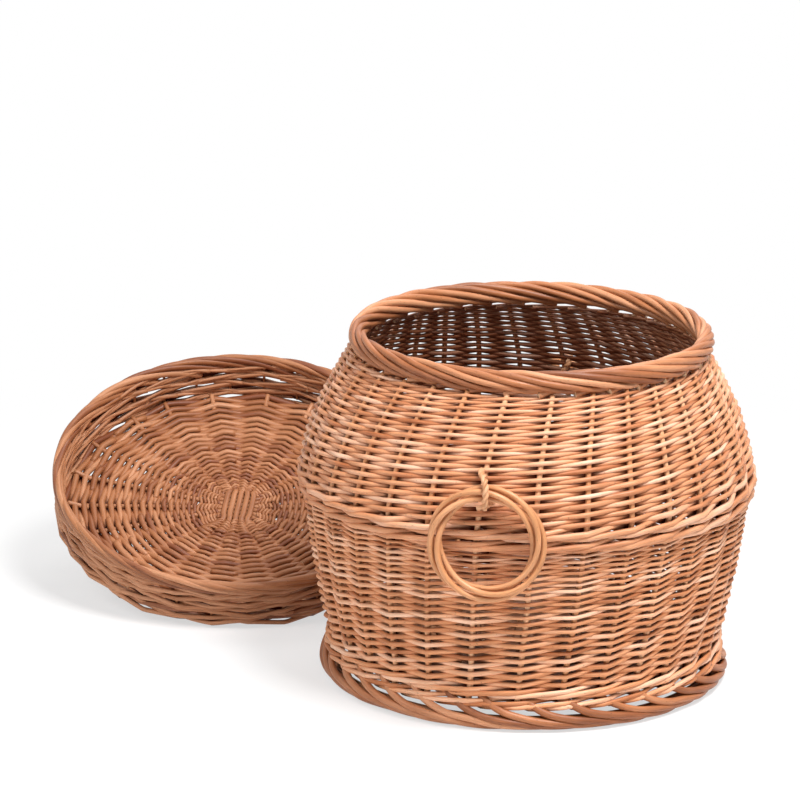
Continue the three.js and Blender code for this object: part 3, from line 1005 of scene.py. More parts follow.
    def climb(self, first: int, levels: Array, radii: Array, swing: float) -> None:
        """Lays one rod of French randing. It climbs a level with each stake, behind one and before the next.

        Args:
            first: the stake that it starts behind.
            levels: the levels of the siding, along the warp, from its first to its last.
            radii: the rod's radius at each level.
            swing: how far it goes out and in beyond its own radius.
        """
        at = np.arange(len(levels))
        climbed = self.samples(0, len(levels) - 1, self.steps_before)
        phase = climbed % 2
        near = np.minimum(phase, 2 - phase)
        radius = np.interp(climbed, at, radii) * self.rng.normal(1, self.thickness_spread)
        stray = drift(self.rng, (first + climbed) / self.warp.count, self.unevenness)
        off = (swing + radius) * kinked(near) - self.lifted(-climbed, climbed - at[-1])
        points, out = self.lay(first + climbed, np.interp(climbed, at, levels) + stray, off)
        self.bundle.add(points, radius, out, self.tone(), hidden=self.hidden(near))


class Assembly(ABC):
    """A sub-assembly: builds its pieces, then dresses them in their finishes."""

    @abstractmethod
    def build(self) -> None:
        """Lays every rod of the sub-assembly."""

    @abstractmethod
    def dress(self) -> None:
        """Makes the objects, with their finishes, bodies and replaced nodes."""


def settle(
    bundle: RodBundle,
    placing: Matrix,
    material: Material,
    part: Part,
    nodes: list[str],
) -> Object:
    """Makes a bundle's object and tells the frame what it is.

    Args:
        bundle: the rods.
        placing: takes the piece's own millimetres to the frame's.
        material: the rods' finish.
        part: the body it rides on.
        nodes: the CAD nodes that it stands for.

    Returns:
        The object.
    """
    made = bundle.to_object(placing, material)
    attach(made, part.value)
    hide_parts(*nodes)
    log.info("%s: %d faces", made.name, len(made.data.polygons))
    return made


def hamper_placing() -> Matrix:
    """The hamper's own frame: its axis is upright in the middle of its foot."""
    low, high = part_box("foot_border")
    middle = (low + high) / 2 / MM
    return Matrix.Translation((middle.x, middle.y, 0))


def lid_placing() -> Matrix:
    """The lid's own frame: its rim is at z = 0 and it opens along +Z."""
    aside = math.sin(LID_TIP)
    opens = Vector(
        (aside * math.cos(LID_TIP_BEARING), aside * math.sin(LID_TIP_BEARING), math.cos(LID_TIP))
    )
    low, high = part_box("lid_border")
    middle = (low + high) / 2 / MM + opens * LID_BORDER_DEPTH / 2
    turn = Vector((0, 0, 1)).rotation_difference(opens).to_matrix().to_4x4()
    return Matrix.Translation(middle) @ turn @ Matrix.Rotation(LID_SPIN, 4, "Z")


def wall_radius(height: Array) -> Array:
    """The radius of the weave's outer face.

    Args:
        height: heights above the floor, in millimetres.

    Returns:
        The radius at each height.
    """
    low = (height - UPSETT_TOP) / (WAIST_LOW - UPSETT_TOP)
    lower = WALL_LOW_RADIUS + (WALL_WAIST_RADIUS - WALL_LOW_RADIUS) * low + WALL_FLARE * np.sin(np.pi * low)
    high = np.maximum((height - WAIST_TOP) / (SHOULDER_TOP - WAIST_TOP), 0)
    upper = SHOULDER_RADIUS - SHOULDER_DRAW_IN * high**SHOULDER_CURVE
    across = (height - WAIST_LOW) / (WAIST_TOP - WAIST_LOW)
    waist = WALL_WAIST_RADIUS + (SHOULDER_RADIUS - WALL_WAIST_RADIUS) * across
    foot = WALL_LOW_RADIUS + (UPSETT_TOP - height) * FOOT_SPREAD
    zones = [height < UPSETT_TOP, height <= WAIST_LOW, height < WAIST_TOP]
    return np.select(zones, [foot, lower, waist], upper)


def hamper_warp() -> HamperWarp:
    """The hamper's stakes and the line that they stand on."""
    height = np.linspace(*STAKE_LINE)
    return HamperWarp(count=STAKES, radius=wall_radius(height) - STAKE_DEPTH, height=height)


@dataclass
class FrenchSiding(Assembly):
    """French randing: one rod beside each stake, all climbing one way, thick end below and tip above."""

    name: str
    node: str
    warp: WallWarp
    placing: Matrix
    rng: Generator
    finish: Material
    low: float
    high: float
    low_pitch: float
    high_pitch: float
    swing: float
    # How far from a stake the painted shade reaches, in bays
    hidden_reach: float = 0.24
    stoutness: float = 0.54
    unevenness: float = 0.12
    tone_spread: float = 0.2

    def build(self) -> None:
        """Lays the rods, each from the lowest level to the highest."""
        self.rods = RodBundle(self.name)
        weaver = Weaver(
            self.warp, self.rods, self.rng,
            unevenness=self.unevenness, tone_spread=self.tone_spread, hidden_reach=self.hidden_reach,
        )
        low, high = self.warp.arc_at(self.low), self.warp.arc_at(self.high)
        rows = round((high - low) / (self.low_pitch + self.high_pitch)) * 2 + 1
        pitches = np.linspace(self.low_pitch, self.high_pitch, rows)
        levels = low + (high - low) * (np.cumsum(pitches) - pitches / 2) / pitches.sum()
        for stake in range(self.warp.count):
            weaver.climb(stake, levels, pitches * self.stoutness, self.swing)

    def dress(self) -> None:
        """Makes the siding's object."""
        settle(self.rods, self.placing, self.finish, Part.HAMPER, [self.node])


@dataclass
class LidSiding(Assembly):
    """The lid's side: strokes in front of two stakes and behind two, laid row by row, that rise or fall."""

    warp: WallWarp
    placing: Matrix
    rng: Generator
    finish: Material
    low: float = -LID_WALL_DEPTH - 2.6
    high: float = -14.5
    pitch: float = 2.3
    rod_radius: float = 2.6
    thickness_spread: float = 0.06
    swing: float = 2.7
    rise: float = 3.6
    falls_every: int = 3
    unevenness: float = 0.9
    end_lift: float = 2.6
    # Lighter tones than the roof's: painted light for the lid's side, which faces down and gets less light
    tone_middle: float = 0.85
    hidden_reach: float = 0.1

    def build(self) -> None:
        """Lays the rows from the roof to the rim. Their strokes rise, but every third row's fall."""
        self.rods = RodBundle("lid_siding")
        weaver = Weaver(
            self.warp, self.rods, self.rng, unevenness=self.unevenness, end_lift=self.end_lift,
            tone_middle=self.tone_middle, hidden_reach=self.hidden_reach, inner_shade=0.0,
        )
        rows = round((self.high - self.low) / self.pitch)
        period = sum(Strand.TWILL.value)
        for row in range(rows):
            s = self.warp.arc_at(self.low) + (row + 0.5) * (self.high - self.low) / rows
            radius = self.rod_radius * self.rng.normal(1, self.thickness_spread)
            rise = self.rise if row % self.falls_every else -self.rise
            shift = (row * (period - 1) + row // period) % period
            weaver.strand(s, Strand.TWILL, shift, radius, self.swing, rise=rise)

    def dress(self) -> None:
        """Makes the siding's object."""
        settle(self.rods, self.placing, self.finish, Part.LID, ["lid_wall"])


@dataclass
class Wale(Assembly):
    """Rounds of waling, like a flat rope: three strands, each in front of two stakes and behind one."""

    name: str
    node: str
    warp: WallWarp
    placing: Matrix
    rng: Generator
    finish: Material
    low: float
    rounds: int
    pitch: float
    rod_radius: float
    swing: float
    rise: float
    strands: int = 3
    climb_at: float = 0.5
    thickness_spread: float = 0.04
    tone_spread: float = 0.2

    def build(self) -> None:
        """Lays the strands, each through all its rounds."""
        self.rods = RodBundle(self.name, sides=10)
        weaver = Weaver(self.warp, self.rods, self.rng, tone_spread=self.tone_spread)
        first = round(self.climb_at * self.warp.count)
        for turn in range(self.strands):
            weaver.strand(
                self.warp.arc_at(self.low) + self.pitch / 2,
                Strand.WALING,
                turn,
                self.rod_radius * self.rng.normal(1, self.thickness_spread),
                self.swing,
                rise=self.rise,
                start=first + turn + self.warp.count,
                rounds=self.rounds,
                climb=self.pitch,
                climb_at=self.climb_at,
                rod_bays=(15, 27),
            )

    def dress(self) -> None:
        """Makes the wale's object."""
        settle(self.rods, self.placing, self.finish, Part.HAMPER, [self.node])


@dataclass
class SideStakes(Assembly):
    """The stakes of the side, each a rod of its own."""

    warp: WallWarp
    placing: Matrix
    rng: Generator
    finish: Material
    low: float = 31.0
    high: float = 361.0
    radius: float = 3.1
    taper: Span = (1.08, 0.92)
    steps: int = 70
    # How far a stake wanders, in bays sideways and in millimetres in and out, and how slowly
    sideways: float = 0.01
    sideways_mm: float = 31.0
    in_out: float = 0.25
    in_out_mm: float = 17.0

    def build(self) -> None:
        """Stands the stakes on the warp."""
        self.rods = []
        for k in range(self.warp.count):
            bundle = RodBundle(f"stake_rod_{k + 1:02d}", sides=10)
            s = np.linspace(self.warp.arc_at(self.low), self.warp.arc_at(self.high), self.steps)
            sway = self.sideways * np.sin(s / self.sideways_mm + self.rng.uniform(0, FULL_TURN))
            points, out = self.warp.place(k + sway, s, self.in_out * np.sin(s / self.in_out_mm + k))
            thickness = self.radius * np.linspace(*self.taper, self.steps)
            bundle.add(points, thickness, out, own_shade(self.rng, middle=0.6, spread=0.15))
            self.rods.append(bundle)

    def dress(self) -> None:
        """Makes the stakes' objects, one for each CAD stake."""
        for k, bundle in enumerate(self.rods):
            settle(bundle, self.placing, self.finish, Part.HAMPER, [f"side_stake_{k + 1:02d}"])


@dataclass
class RolledBorder(Assembly):
    """Thick rods: each comes up beside a stake, rolls over its neighbours and is cut off under them.

    A route's stops are bays, radius and height. Round the middle of the roll lie a few core rods, given by
    their radius, height and thickness.
    """

    name: str
    node: str
    placing: Matrix
    rng: Generator
    finish: Material
    strokes: int
    route: Stops
    core: Stops
    rod_radius: float
    part: Part = Part.HAMPER
    lowest: float = -math.inf
    aside: float = 0.0
    taper: Span = (1.05, 0.85)
    thickness_spread: float = 0.06
    stop_spread: float = 0.3
    start_spread: float = 0.03
    core_stray: float = 0.5
    core_steps: int = 4

    def build(self) -> None:
        """Rolls the strokes one after another over the core."""
        self.rods = RodBundle(self.name, sides=12)
        bay = FULL_TURN / self.strokes
        for k in range(self.strokes):
            stops = np.array(self.route)
            stops[:, 1:] += self.rng.normal(0, self.stop_spread, stops[:, 1:].shape)
            path = smooth_path(stops, steps=9)
            own = self.rod_radius * self.rng.normal(1, self.thickness_spread)
            thickness = own * np.linspace(*self.taper, len(path))
            radius, height = path[:, 1], np.maximum(path[:, 2], self.lowest + thickness)
            bearing = (k + self.rng.normal(0, self.start_spread) + path[:, 0]) * bay - math.pi / 2
            self.lay(bearing, radius, height, thickness)
        turns = np.linspace(0, 1, self.core_steps * self.strokes, endpoint=False)
        for core_radius, core_height, thickness in self.core:
            radius = core_radius + drift(self.rng, turns, self.core_stray)
            height = core_height + drift(self.rng, turns, self.core_stray)
            self.lay(turns * FULL_TURN, radius, height, thickness, closed=True)

    def lay(
        self, bearing: Array, radius: Array, height: Array, thickness: Array | float, closed: bool = False
    ) -> None:
        """Lays one rod of the border.

        Args:
            bearing: bearings along the rod.
            radius: its distance from the axis at each.
            height: its height at each.
            thickness: its own radius.
            closed: whether it goes right round.
        """
        outward = np.stack([np.cos(bearing), np.sin(bearing), np.zeros_like(bearing)], axis=1)
        line = outward * radius[:, None]
        line[:, 0] += self.aside * math.cos(CAMERA_BEARING)
        line[:, 1] += self.aside * math.sin(CAMERA_BEARING)
        line[:, 2] = height
        tone = own_shade(self.rng, middle=0.5, spread=0.24, margin=0.02)
        self.rods.add(line, thickness, outward, tone, closed=closed)

    def dress(self) -> None:
        """Makes the border's object."""
        settle(self.rods, self.placing, self.finish, self.part, [self.node])


@dataclass
class WovenDisc(Assembly):
    """A woven disc: the crossed sticks in its middle, paired rounds that bind them, then randing."""

    name: str
    weave_node: str
    warp: DiscWarp
    placing: Matrix
    rng: Generator
    finish: Material
    part: Part
    weave_slot: str
    outer: float
    pair_until: float
    first_pitch: float
    last_pitch: float
    split_nodes: list[str]
    threaded_nodes: list[str]
    stick_prefix: str
    pitch_curve: float = 0.8
    stoutness: float = 0.7
    thickness_spread: float = 0.07
    swing: float = 0.62
    pair_stoutness: float = 0.9
    pair_twist: float = 0.8
    pair_pitch: float = 1.5
    unevenness: float = 0.35
    end_lift: float = 3.5

    def build(self) -> None:
        """Lays the rounds from the cross outwards, then the sticks."""
        self.rods = RodBundle(self.name)
        weaver = Weaver(
            self.warp, self.rods, self.rng, inside=1, unevenness=self.unevenness, end_lift=self.end_lift
        )
        s = self.warp.first_row
        row = 0
        while s < self.outer:
            share = (s - self.warp.first_row) / (self.outer - self.warp.first_row)
            pitch = self.first_pitch + (self.last_pitch - self.first_pitch) * share**self.pitch_curve
            radius = pitch * self.stoutness
            swing = (self.warp.cross.radius + radius) * self.swing
            if s < self.pair_until:
                for shift, side in enumerate((1, -1)):
                    twist = radius * self.pair_twist * side
                    weaver.strand(s, Strand.RANDING, shift, radius * self.pair_stoutness, swing, twist=twist)
                s += pitch * self.pair_pitch
            else:
                own = radius * self.rng.normal(1, self.thickness_spread)
                weaver.strand(s, Strand.RANDING, row % 2, own, swing, rod_bays=(18, 32))
                s += pitch
            row += 1
        self.sticks = {}
        cross = self.warp.cross
        kinds = (("split", cross.split, self.split_nodes), ("threaded", cross.threaded, self.threaded_nodes))
        for kind, count, nodes in kinds:
            for k in range(count):
                bundle = RodBundle(f"{self.stick_prefix}_{kind}_rod_{k + 1}", sides=10)
                node = nodes[k] if len(nodes) > 1 else nodes[0]
                self.sticks[bundle.name] = (bundle, node)
                self.lay_stick(bundle, kind == "split", k)

    def lay_stick(self, bundle: RodBundle, split: bool, k: int) -> None:
        """Lays one stick of the cross. A split one opens into two halves where the others pass through.

        Args:
            bundle: takes the stick's rods.
            split: whether it is one of the split sticks.
            k: which stick of its set.
        """
        cross = self.warp.cross
        tone = own_shade(self.rng, middle=0.45, spread=0.12)
        halves = [cross.arm(split, k, end) for end in (1, -1)]
        whole = np.vstack([halves[1][::-1], halves[0][1:]])
        height = self.warp.height(np.hypot(whole[:, 0], whole[:, 1]))
        line = np.column_stack([whole, height])
        radius = cross.radius * (1 - cross.taper * np.abs(np.linspace(-1, 1, len(line))))
        if not split:
            bundle.add(line, radius, UP, tone)
            return
        along = np.abs(whole[:, 1])
        past = cross.half_length - cross.split_past
        inner = along < past + cross.split_reach
        opened = eased(np.clip((past - along[inner]) / cross.split_slope + 1, 0, 1))
        for side in (1, -1):
            lift = side * cross.radius * (cross.half_lift + opened)
            half = line[inner] + UP * lift[:, None]
            bundle.add(half, cross.radius * cross.half_breadth, UP, tone, flatness=cross.half_flatness)
        start = past + cross.whole_from
        for arm in (whole[:, 1] > start, whole[:, 1] < -start):
            bundle.add(line[arm], radius[arm], UP, tone)

    def dress(self) -> None:
        """Makes the weave's object and one for each stick."""
        settle(self.rods, self.placing, self.finish, self.part, [self.weave_node])
        for bundle, node in self.sticks.values():
            settle(bundle, self.placing, self.finish, self.part, [node])


@dataclass
class LidStakes(Assembly):
    """The short stakes of the lid's side, and the ends of the roof's spokes, inside, along its edge."""

    wall: WallWarp
    roof: DiscWarp
    placing: Matrix
    rng: Generator
    finish: Material
    low: float = -56.0
    high: float = -16.0
    depth: float = 0.8
    stake_radius: float = 1.615
    end_radius: float = 2.85
    end_length: float = 24.0
    end_reach: Span = (197.0, 202.0)
    end_aside: Span = (0.06, 0.1)
    end_lift: Span = (0.5, 8.0)
    stake_steps: int = 16
    end_steps: int = 10

    def build(self) -> None:
        """Stands the short stakes in the lid's wall, and lays the spokes' ends."""
        self.rods = RodBundle("lid_side_stakes", sides=8)
        for k in range(self.wall.count):
            s = np.linspace(self.wall.arc_at(self.low), self.wall.arc_at(self.high), self.stake_steps)
            points, out = self.wall.place(np.full(len(s), float(k)), s, -self.depth)
            self.rods.add(points, self.stake_radius, out, own_shade(self.rng, middle=0.4, spread=0.15))
        for k in range(self.roof.count):
            reach = self.rng.uniform(*self.end_reach)
            steps = np.linspace(reach - self.end_length, reach, self.end_steps)
            lifts = np.linspace(*self.end_lift, self.end_steps)
            spot = np.array([k + self.rng.choice([-1, 1]) * self.rng.uniform(*self.end_aside)])
            points = np.vstack([self.roof.place(spot, step, lift)[0] for step, lift in zip(steps, lifts)])
            self.rods.add(points, self.end_radius, UP, own_shade(self.rng, middle=0.6, spread=0.2))

    def dress(self) -> None:
        """Makes the stakes' object."""
        settle(self.rods, self.placing, self.finish, Part.LID, ["lid_wall"])


@dataclass
class RingHandle(Assembly):
    """A handle: one long rod wound four times round itself into a ring."""

    place: str
    part: Part
    facing: float
    placing: Matrix
    finish: Material
    turns: int = 4
    rod_radius: float = 3.0
    ring_radius: float = 54.6
    lay_radius: float = 5.8
    hang: float = 0.6
    end_gap: float = math.radians(9.0)
    steps_per_turn: int = 96
    taper: Span = (1.04, 0.96)
    ripple: float = 0.03
    ripple_rate: float = 2.3
    tone: float = 0.55

    def build(self) -> None:
        """Winds the rod. Each turn lies a quarter of the way further round the ring's own section."""
        self.rods = RodBundle(f"ring_rod_{self.place}", sides=14)
        sweep = self.turns * FULL_TURN - self.end_gap
        share = np.linspace(0, 1, self.turns * self.steps_per_turn)
        about = math.pi / 2 + self.end_gap / 2 + share * sweep
        lay = about * (1 + 1 / self.turns)
        spoke = np.stack([np.cos(about), np.zeros_like(about), np.sin(about)], axis=1)
        line = spoke * (self.ring_radius + self.lay_radius * np.cos(lay))[:, None]
        line = line + BACKWARDS * (self.lay_radius * np.sin(lay))[:, None]
        rippled = self.ripple * np.sin(about * self.ripple_rate)
        thickness = self.rod_radius * (np.linspace(*self.taper, len(about)) + rippled)
        self.rods.add(line, thickness, spoke, self.tone)

    def dress(self) -> None:
        """Hangs the ring in its tie."""
        middle = Matrix.Translation((HANDLE_ASIDE, -HANDLE_OUT, HANDLE_HEIGHT - self.ring_radius - self.hang))
        placing = self.placing @ Matrix.Rotation(self.facing, 4, "Z") @ middle
        settle(self.rods, placing, self.finish, self.part, [f"handle_ring_{self.place}"])


@dataclass
class HandleTie(Assembly):
    """The tie that a ring hangs in: a thin rod twisted like rope, round a stake and through the wall."""

    place: str
    facing: float
    placing: Matrix
    finish: Material
    strand_radius: float = 2.1
    twist_radius: float = 1.5
    twists: int = 9
    tones: Span = (0.7, 0.5)
    end_radius: float = 2.31
    end_tone: float = 0.75
    # Sideways, out from the hamper's axis, and up: in beside a stake, behind it, out, and round the ring
    stops: Stops = (
        (-10.4, 220.5, 286),
        (-10.4, 229.5, 288.8),
        (-9.0, 240, 289.5),
        (-5.5, 251, 289),
        (-1.0, 262.8, 285),
        (0.2, 268.6, 275),
        (-0.8, 266, 264.5),
        (-1.0, 256, 259.6),
        (1.5, 246, 259.6),
        (3.6, 237, 260.6),
        (3.3, 230.3, 262.8),
        (-1.5, 227.5, 269.5),
        (-7.3, 223.3, 279),
    )
    cut_ends: tuple[Stops, ...] = (
        ((-0.5, 257, 261), (-5, 259.5, 259), (-10.3, 260, 257.4)),
        ((-1, 257, 262), (-1.4, 260, 258.8), (-1.7, 260.5, 255.6)),
    )

    def build(self) -> None:
        """Twists two strands round each other along the route, and leaves their two cut ends below."""
        self.rods = RodBundle(f"tie_twist_{self.place}", sides=10)
        stops = np.array([(x, -out, z) for x, out, z in self.stops])
        path = smooth_path(stops, steps=14, closed=True)
        ahead = unit(np.roll(path, -1, 0) - np.roll(path, 1, 0))
        first = unit(SIDEWAYS - ahead * ahead[:, :1])
        second = np.cross(ahead, first)
        angle = np.arange(len(path)) / len(path) * self.twists * FULL_TURN
        for start, tone in zip((0.0, math.pi), self.tones):
            around = np.cos(angle + start)[:, None] * first + np.sin(angle + start)[:, None] * second
            self.rods.add(path + self.twist_radius * around, self.strand_radius, around, tone, closed=True)
        for end in self.cut_ends:
            line = smooth_path(np.array([(x, -out, z) for x, out, z in end]), steps=6)
            self.rods.add(line, self.end_radius, SIDEWAYS, self.end_tone)

    def dress(self) -> None:
        """Makes the tie's object."""
        aside = Matrix.Translation((HANDLE_ASIDE, 0, 0))
        placing = self.placing @ Matrix.Rotation(self.facing, 4, "Z") @ aside
        settle(self.rods, placing, self.finish, Part.HAMPER, [f"handle_tie_{self.place}"])


@dataclass
class Studio:
    """The plain studio: a pale floor, soft lamps, a white surround and the photograph's camera."""

    placing: Matrix
    floor_half: float = 9.0
    floor_drop: float = 0.0003
    floor_colour: int = 0xF6F6F6
    floor_fade: Span = (0.25, 1.1)
    floor_shares: Span = (0.62, 1.0)
    ambient: float = 0.2
    lamp_aim: float = 0.2
    camera_range: float = 60.0

    def build(self) -> None:
        """Sets up the floor, the surround, the lamps and the camera."""
        self.lay_floor()
        self.light_surround()
        self.hang_lamp("key_lamp", azimuth=46.0, elevation=60.0, distance=2.6, size=0.9, watts=92.0)
        self.hang_lamp("fill_lamp", azimuth=-42.0, elevation=42.0, distance=3.2, size=1.4, watts=32.0)
        self.hang_lamp("back_lamp", azimuth=170.0, elevation=50.0, distance=3.0, size=1.6, watts=24.0)
        self.aim_camera()

    def white_rays(self, tree: NodeTree) -> NodeSocket:
        """A socket that is 1 for camera, glossy and transmission rays, in a given tree."""
        rays = add_node(tree, "ShaderNodeLightPath").outputs
        seen = work_out(tree, "MAXIMUM", rays["Is Camera Ray"], rays["Is Glossy Ray"])
        return work_out(tree, "MAXIMUM", seen, rays["Is Transmission Ray"])

    def lay_floor(self) -> None:
        """Lays a matt white floor that keeps a soft part of the object's shadow."""
        half = self.floor_half
        mesh = bpy.data.meshes.new("studio_floor")
        corners = [(-half, -half, 0), (half, -half, 0), (half, half, 0), (-half, half, 0)]
        mesh.from_pydata(corners, [], [(0, 1, 2, 3)])
        floor = put_in_scene("studio_floor", mesh)
        floor.location.z = -self.floor_drop
        material = bpy.data.materials.new("matt_white_painted_floor")
        tree = bare_tree(material)
        matt = add_node(tree, "ShaderNodeBsdfDiffuse", inputs={"Color": to_linear(self.floor_colour)})
        white = add_node(tree, "ShaderNodeEmission", inputs={"Color": WHITE, "Strength": 1.0})
        place = add_node(tree, "ShaderNodeNewGeometry").outputs["Position"]
        away = add_node(tree, "ShaderNodeVectorMath", {"operation": "LENGTH"}, {0: place}).outputs["Value"]
        faded = remap(tree, away, self.floor_fade, self.floor_shares, "SMOOTHSTEP")
        share = work_out(tree, "MULTIPLY", self.white_rays(tree), faded)
        shaders = {0: share, 1: matt.outputs[0], 2: white.outputs[0]}
        mixed = add_node(tree, "ShaderNodeMixShader", inputs=shaders)
        add_node(tree, "ShaderNodeOutputMaterial", inputs={"Surface": mixed.outputs[0]})
        mesh.materials.append(material)

    def light_surround(self) -> None:
        """Gives the world a plain level of light, and shows it as white."""
        world = bpy.data.worlds.new("white_surround")
        tree = bare_tree(world)
        level = remap(tree, self.white_rays(tree), (0.0, 1.0), (self.ambient, 1.0))
        sky = add_node(tree, "ShaderNodeBackground", inputs={"Color": WHITE, "Strength": level})
        add_node(tree, "ShaderNodeOutputWorld", inputs={"Surface": sky.outputs[0]})
        bpy.context.scene.world = world
        bpy.context.scene.view_settings.view_transform = "Standard"

    def hang_lamp(
        self, name: str, azimuth: float, elevation: float, distance: float, size: float, watts: float
    ) -> None:
        """Hangs one square soft lamp that points at the object.

        Args:
            name: the lamp's name.
            azimuth: its bearing, counted as the camera's is, in degrees.
            elevation: its height above the horizon, in degrees.
            distance: how far off it hangs, in metres.
            size: the side of its face, in metres.
            watts: its power.
        """
        lamp = bpy.data.lights.new(name, "AREA")
        lamp.shape = "SQUARE"
        lamp.size = size
        lamp.energy = watts
        a, e = math.radians(azimuth), math.radians(elevation)
        back = Vector((math.sin(a) * math.cos(e), -math.cos(a) * math.cos(e), math.sin(e)))
        hung = put_in_scene(name, lamp)
        hung.location = Vector((0, 0, self.lamp_aim)) + back * distance
        hung.rotation_euler = back.to_track_quat("Z", "Y").to_euler()

    def aim_camera(self) -> None:
        """Sets the camera where the photograph was taken from."""
        camera = bpy.data.cameras.new("photo_camera")
        camera.sensor_width = SENSOR
        camera.lens = FOCAL_PIXELS * SENSOR / IMAGE_WIDTH
        camera.clip_end = self.camera_range
        ahead = Vector((0, math.cos(CAMERA_PITCH), -math.sin(CAMERA_PITCH)))
        level = Vector((1, 0, 0))
        rising = Vector((0, math.sin(CAMERA_PITCH), math.cos(CAMERA_PITCH)))
        right = level * math.cos(CAMERA_ROLL) + rising * math.sin(CAMERA_ROLL)
        up = rising * math.cos(CAMERA_ROLL) - level * math.sin(CAMERA_ROLL)
        place = Vector(CAMERA_TARGET) - ahead * CAMERA_DISTANCE
        turn = Matrix((right, up, -ahead)).transposed()
        about = self.placing @ Matrix.Rotation(CAMERA_BEARING, 4, "Z")
        world = about @ Matrix.Translation(place) @ turn.to_4x4()
        view = put_in_scene("photo_camera", camera)
        view.location = world.translation * MM
        view.rotation_mode = "QUATERNION"
        view.rotation_quaternion = world.to_quaternion()
        bpy.context.scene.camera = view


# Routes of one border rod: bays along, radius and height, from beside its stake to its cut end
FOOT_ROUTE = (
    (-0.3, 208, 36), (0.0, 213, 28), (0.35, 217, 21), (0.8, 219, 15.6), (1.4, 219.6, 11.4), (2.1, 218, 7.4),
    (2.8, 214, 4.8), (3.4, 208.5, 4.4), (4.0, 202.5, 7),
)
FOOT_CORE = ((210.5, 8.5, 3.8), (205, 10, 3.6))
MOUTH_ROUTE = (
    (0.0, 189.5, 361.5), (0.4, 186.0, 365.0), (1.2, 182.6, 369.5), (2.0, 181.6, 375.8),
    (2.8, 183.8, 381.2), (3.6, 188.2, 383.4), (4.4, 191.8, 380.4), (5.2, 193.6, 375.2), (6.0, 193.2, 369.8),
    (6.6, 190.4, 365.6), (7.1, 187.0, 364.6),
)
MOUTH_CORE = ((187.6, 374.5, 4.8), (188.5, 367.5, 3.8))
LID_ROUTE = (
    (-0.1, 207, -26), (0.3, 205.6, -19), (1.0, 205.2, -11.5), (2.0, 206.4, -5.4), (3.0, 209.4, -4.4),
    (3.9, 210.3, -8.6), (4.8, 209.8, -13.4), (5.5, 206.5, -15.6),
)
LID_CORE = ((207.6, -11, 3.2),)


def build_hamper(placing: Matrix, finishes: dict[str, Material]) -> list[Assembly]:
    """Lists the hamper's sub-assemblies.

    Args:
        placing: the hamper's own frame.
        finishes: the materials by name.

    Returns:
        The sub-assemblies, not yet built.
    """
    warp = hamper_warp()
    lower, upper, border, base = (finishes[name] for name in ("lower", "upper", "border", "base"))
    cross = Cross(split=4, threaded=4, split_pitch=8.4, threaded_pitch=8.4, radius=3.8, reach=202.0)
    return [
        SideStakes(warp, placing, default_rng(21), finishes["stake"]),
        Wale(
            "upsett_waling", "upsett_wale", warp, placing, default_rng(22), lower,
            low=19.5, rounds=2, pitch=12.2, rod_radius=2.75, swing=5.0, rise=5.4,
        ),
        FrenchSiding(
            "lower_siding", "lower_wall", warp, placing, default_rng(23), lower,
            low=44.0, high=WAIST_LOW, low_pitch=5.2, high_pitch=3.0, swing=2.0, hidden_reach=0.27,
        ),
        Wale(
            "waist_waling", "waist_wale", warp, placing, default_rng(25), upper,
            low=WAIST_LOW, rounds=2, pitch=13.0, rod_radius=3.5, swing=6.2, rise=6.0,
        ),
        FrenchSiding(
            "upper_siding", "upper_wall", warp, placing, default_rng(26), upper,
            low=WAIST_TOP - 2.5, high=SIDING_TOP, low_pitch=5.0, high_pitch=3.3, swing=0.7,
            hidden_reach=0.16, stoutness=0.565,
        ),
        RolledBorder(
            "foot_border_rods", "foot_border", placing, default_rng(27), border,
            strokes=STAKES, route=FOOT_ROUTE, core=FOOT_CORE, rod_radius=4.0, lowest=0.2,
        ),
        RolledBorder(
            "mouth_border_rods", "mouth_border", placing, default_rng(28), border,
            strokes=STAKES, route=MOUTH_ROUTE, core=MOUTH_CORE, rod_radius=3.8, aside=2.5,
        ),
        WovenDisc(
            "base_weave_rods", "base_weave", DiscWarp(cross, middle=36.5), placing, default_rng(29), base,
            Part.HAMPER, "siding", outer=203.0, pair_until=56.0, first_pitch=3.0, last_pitch=5.4,
            split_nodes=["base_cross"], threaded_nodes=["base_cross"], stick_prefix="base",
        ),
    ]


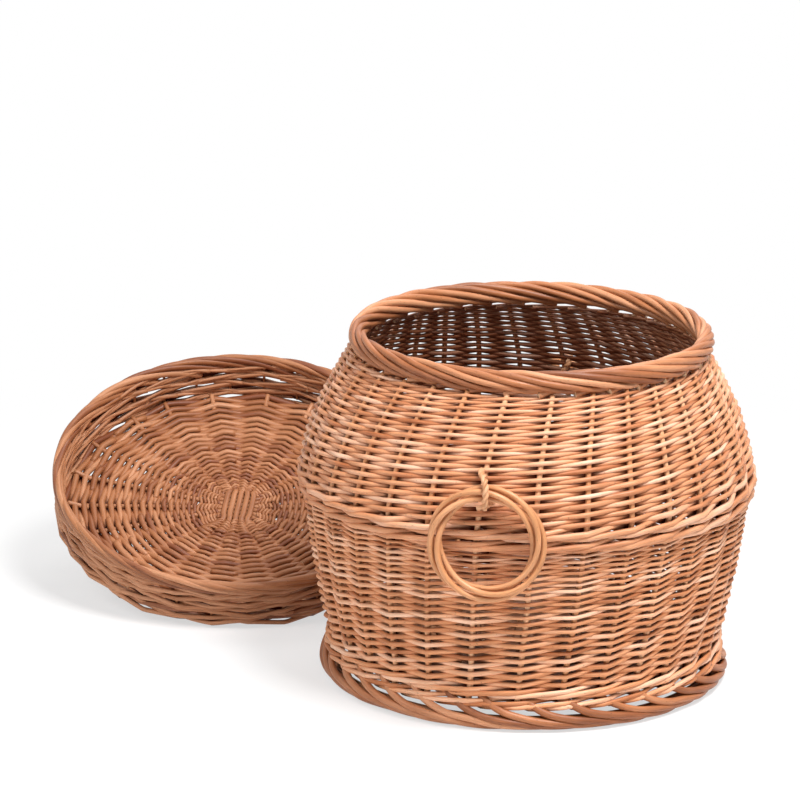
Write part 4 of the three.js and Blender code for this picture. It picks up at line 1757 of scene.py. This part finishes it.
def build_lid(placing: Matrix, rods: Material) -> list[Assembly]:
    """Lists the lid's sub-assemblies.

    Args:
        placing: the lid's own frame.
        rods: the material of all its rods.

    Returns:
        The sub-assemblies, not yet built.
    """
    height = np.linspace(*LID_STAKE_LINE)
    wall = WallWarp(count=LID_STAKES, radius=np.full(len(height), LID_WALL_RADIUS), height=height)
    cross = Cross(split=5, threaded=6, split_pitch=7.6, threaded_pitch=7.2, radius=3.1, reach=203.0)
    roof = DiscWarp(cross, middle=-LID_WALL_DEPTH - 1.7, crown=LID_CROWN, crown_radius=LID_WEAVE_RADIUS)
    return [
        LidStakes(wall, roof, placing, default_rng(32), rods),
        LidSiding(wall, placing, default_rng(33), rods),
        RolledBorder(
            "lid_border_rods", "lid_border", placing, default_rng(34), rods,
            strokes=LID_STAKES, route=LID_ROUTE, core=LID_CORE, rod_radius=3.9, part=Part.LID,
        ),
        WovenDisc(
            "lid_weave_rods", "lid_weave", roof, placing, default_rng(35), rods,
            Part.LID, "lid", outer=203.5, pair_until=50.0, first_pitch=2.6, last_pitch=5.8,
            split_nodes=[f"lid_stick_split_{k + 1}" for k in range(cross.split)],
            threaded_nodes=[f"lid_stick_threaded_{k + 1}" for k in range(cross.threaded)],
            stick_prefix="lid",
        ),
    ]


def main() -> None:
    """Builds every sub-assembly in order, then the studio."""
    logging.basicConfig(level=logging.INFO, format="%(name)s %(message)s")
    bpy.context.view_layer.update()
    rods = {
        "lower": LOWER_ROD,
        "upper": UPPER_ROD,
        "base": BASE_ROD,
        "stake": STAKE,
        "border": BORDER,
        "lid": LID_ROD,
        "ring": RING,
        "tie": TIE,
    }
    finishes = {name: rod.material() for name, rod in rods.items()}
    placing = hamper_placing()
    assemblies = build_hamper(placing, finishes) + build_lid(lid_placing(), finishes["lid"])
    for place, part, facing in (("front", Part.HANDLE_FRONT, 0.0), ("back", Part.HANDLE_BACK, math.pi)):
        assemblies.append(RingHandle(place, part, facing, placing, finishes["ring"]))
        assemblies.append(HandleTie(place, facing, placing, finishes["tie"]))
    for assembly in assemblies:
        assembly.build()
        assembly.dress()
    Studio(placing).build()


if __name__ == "__main__":
    main()
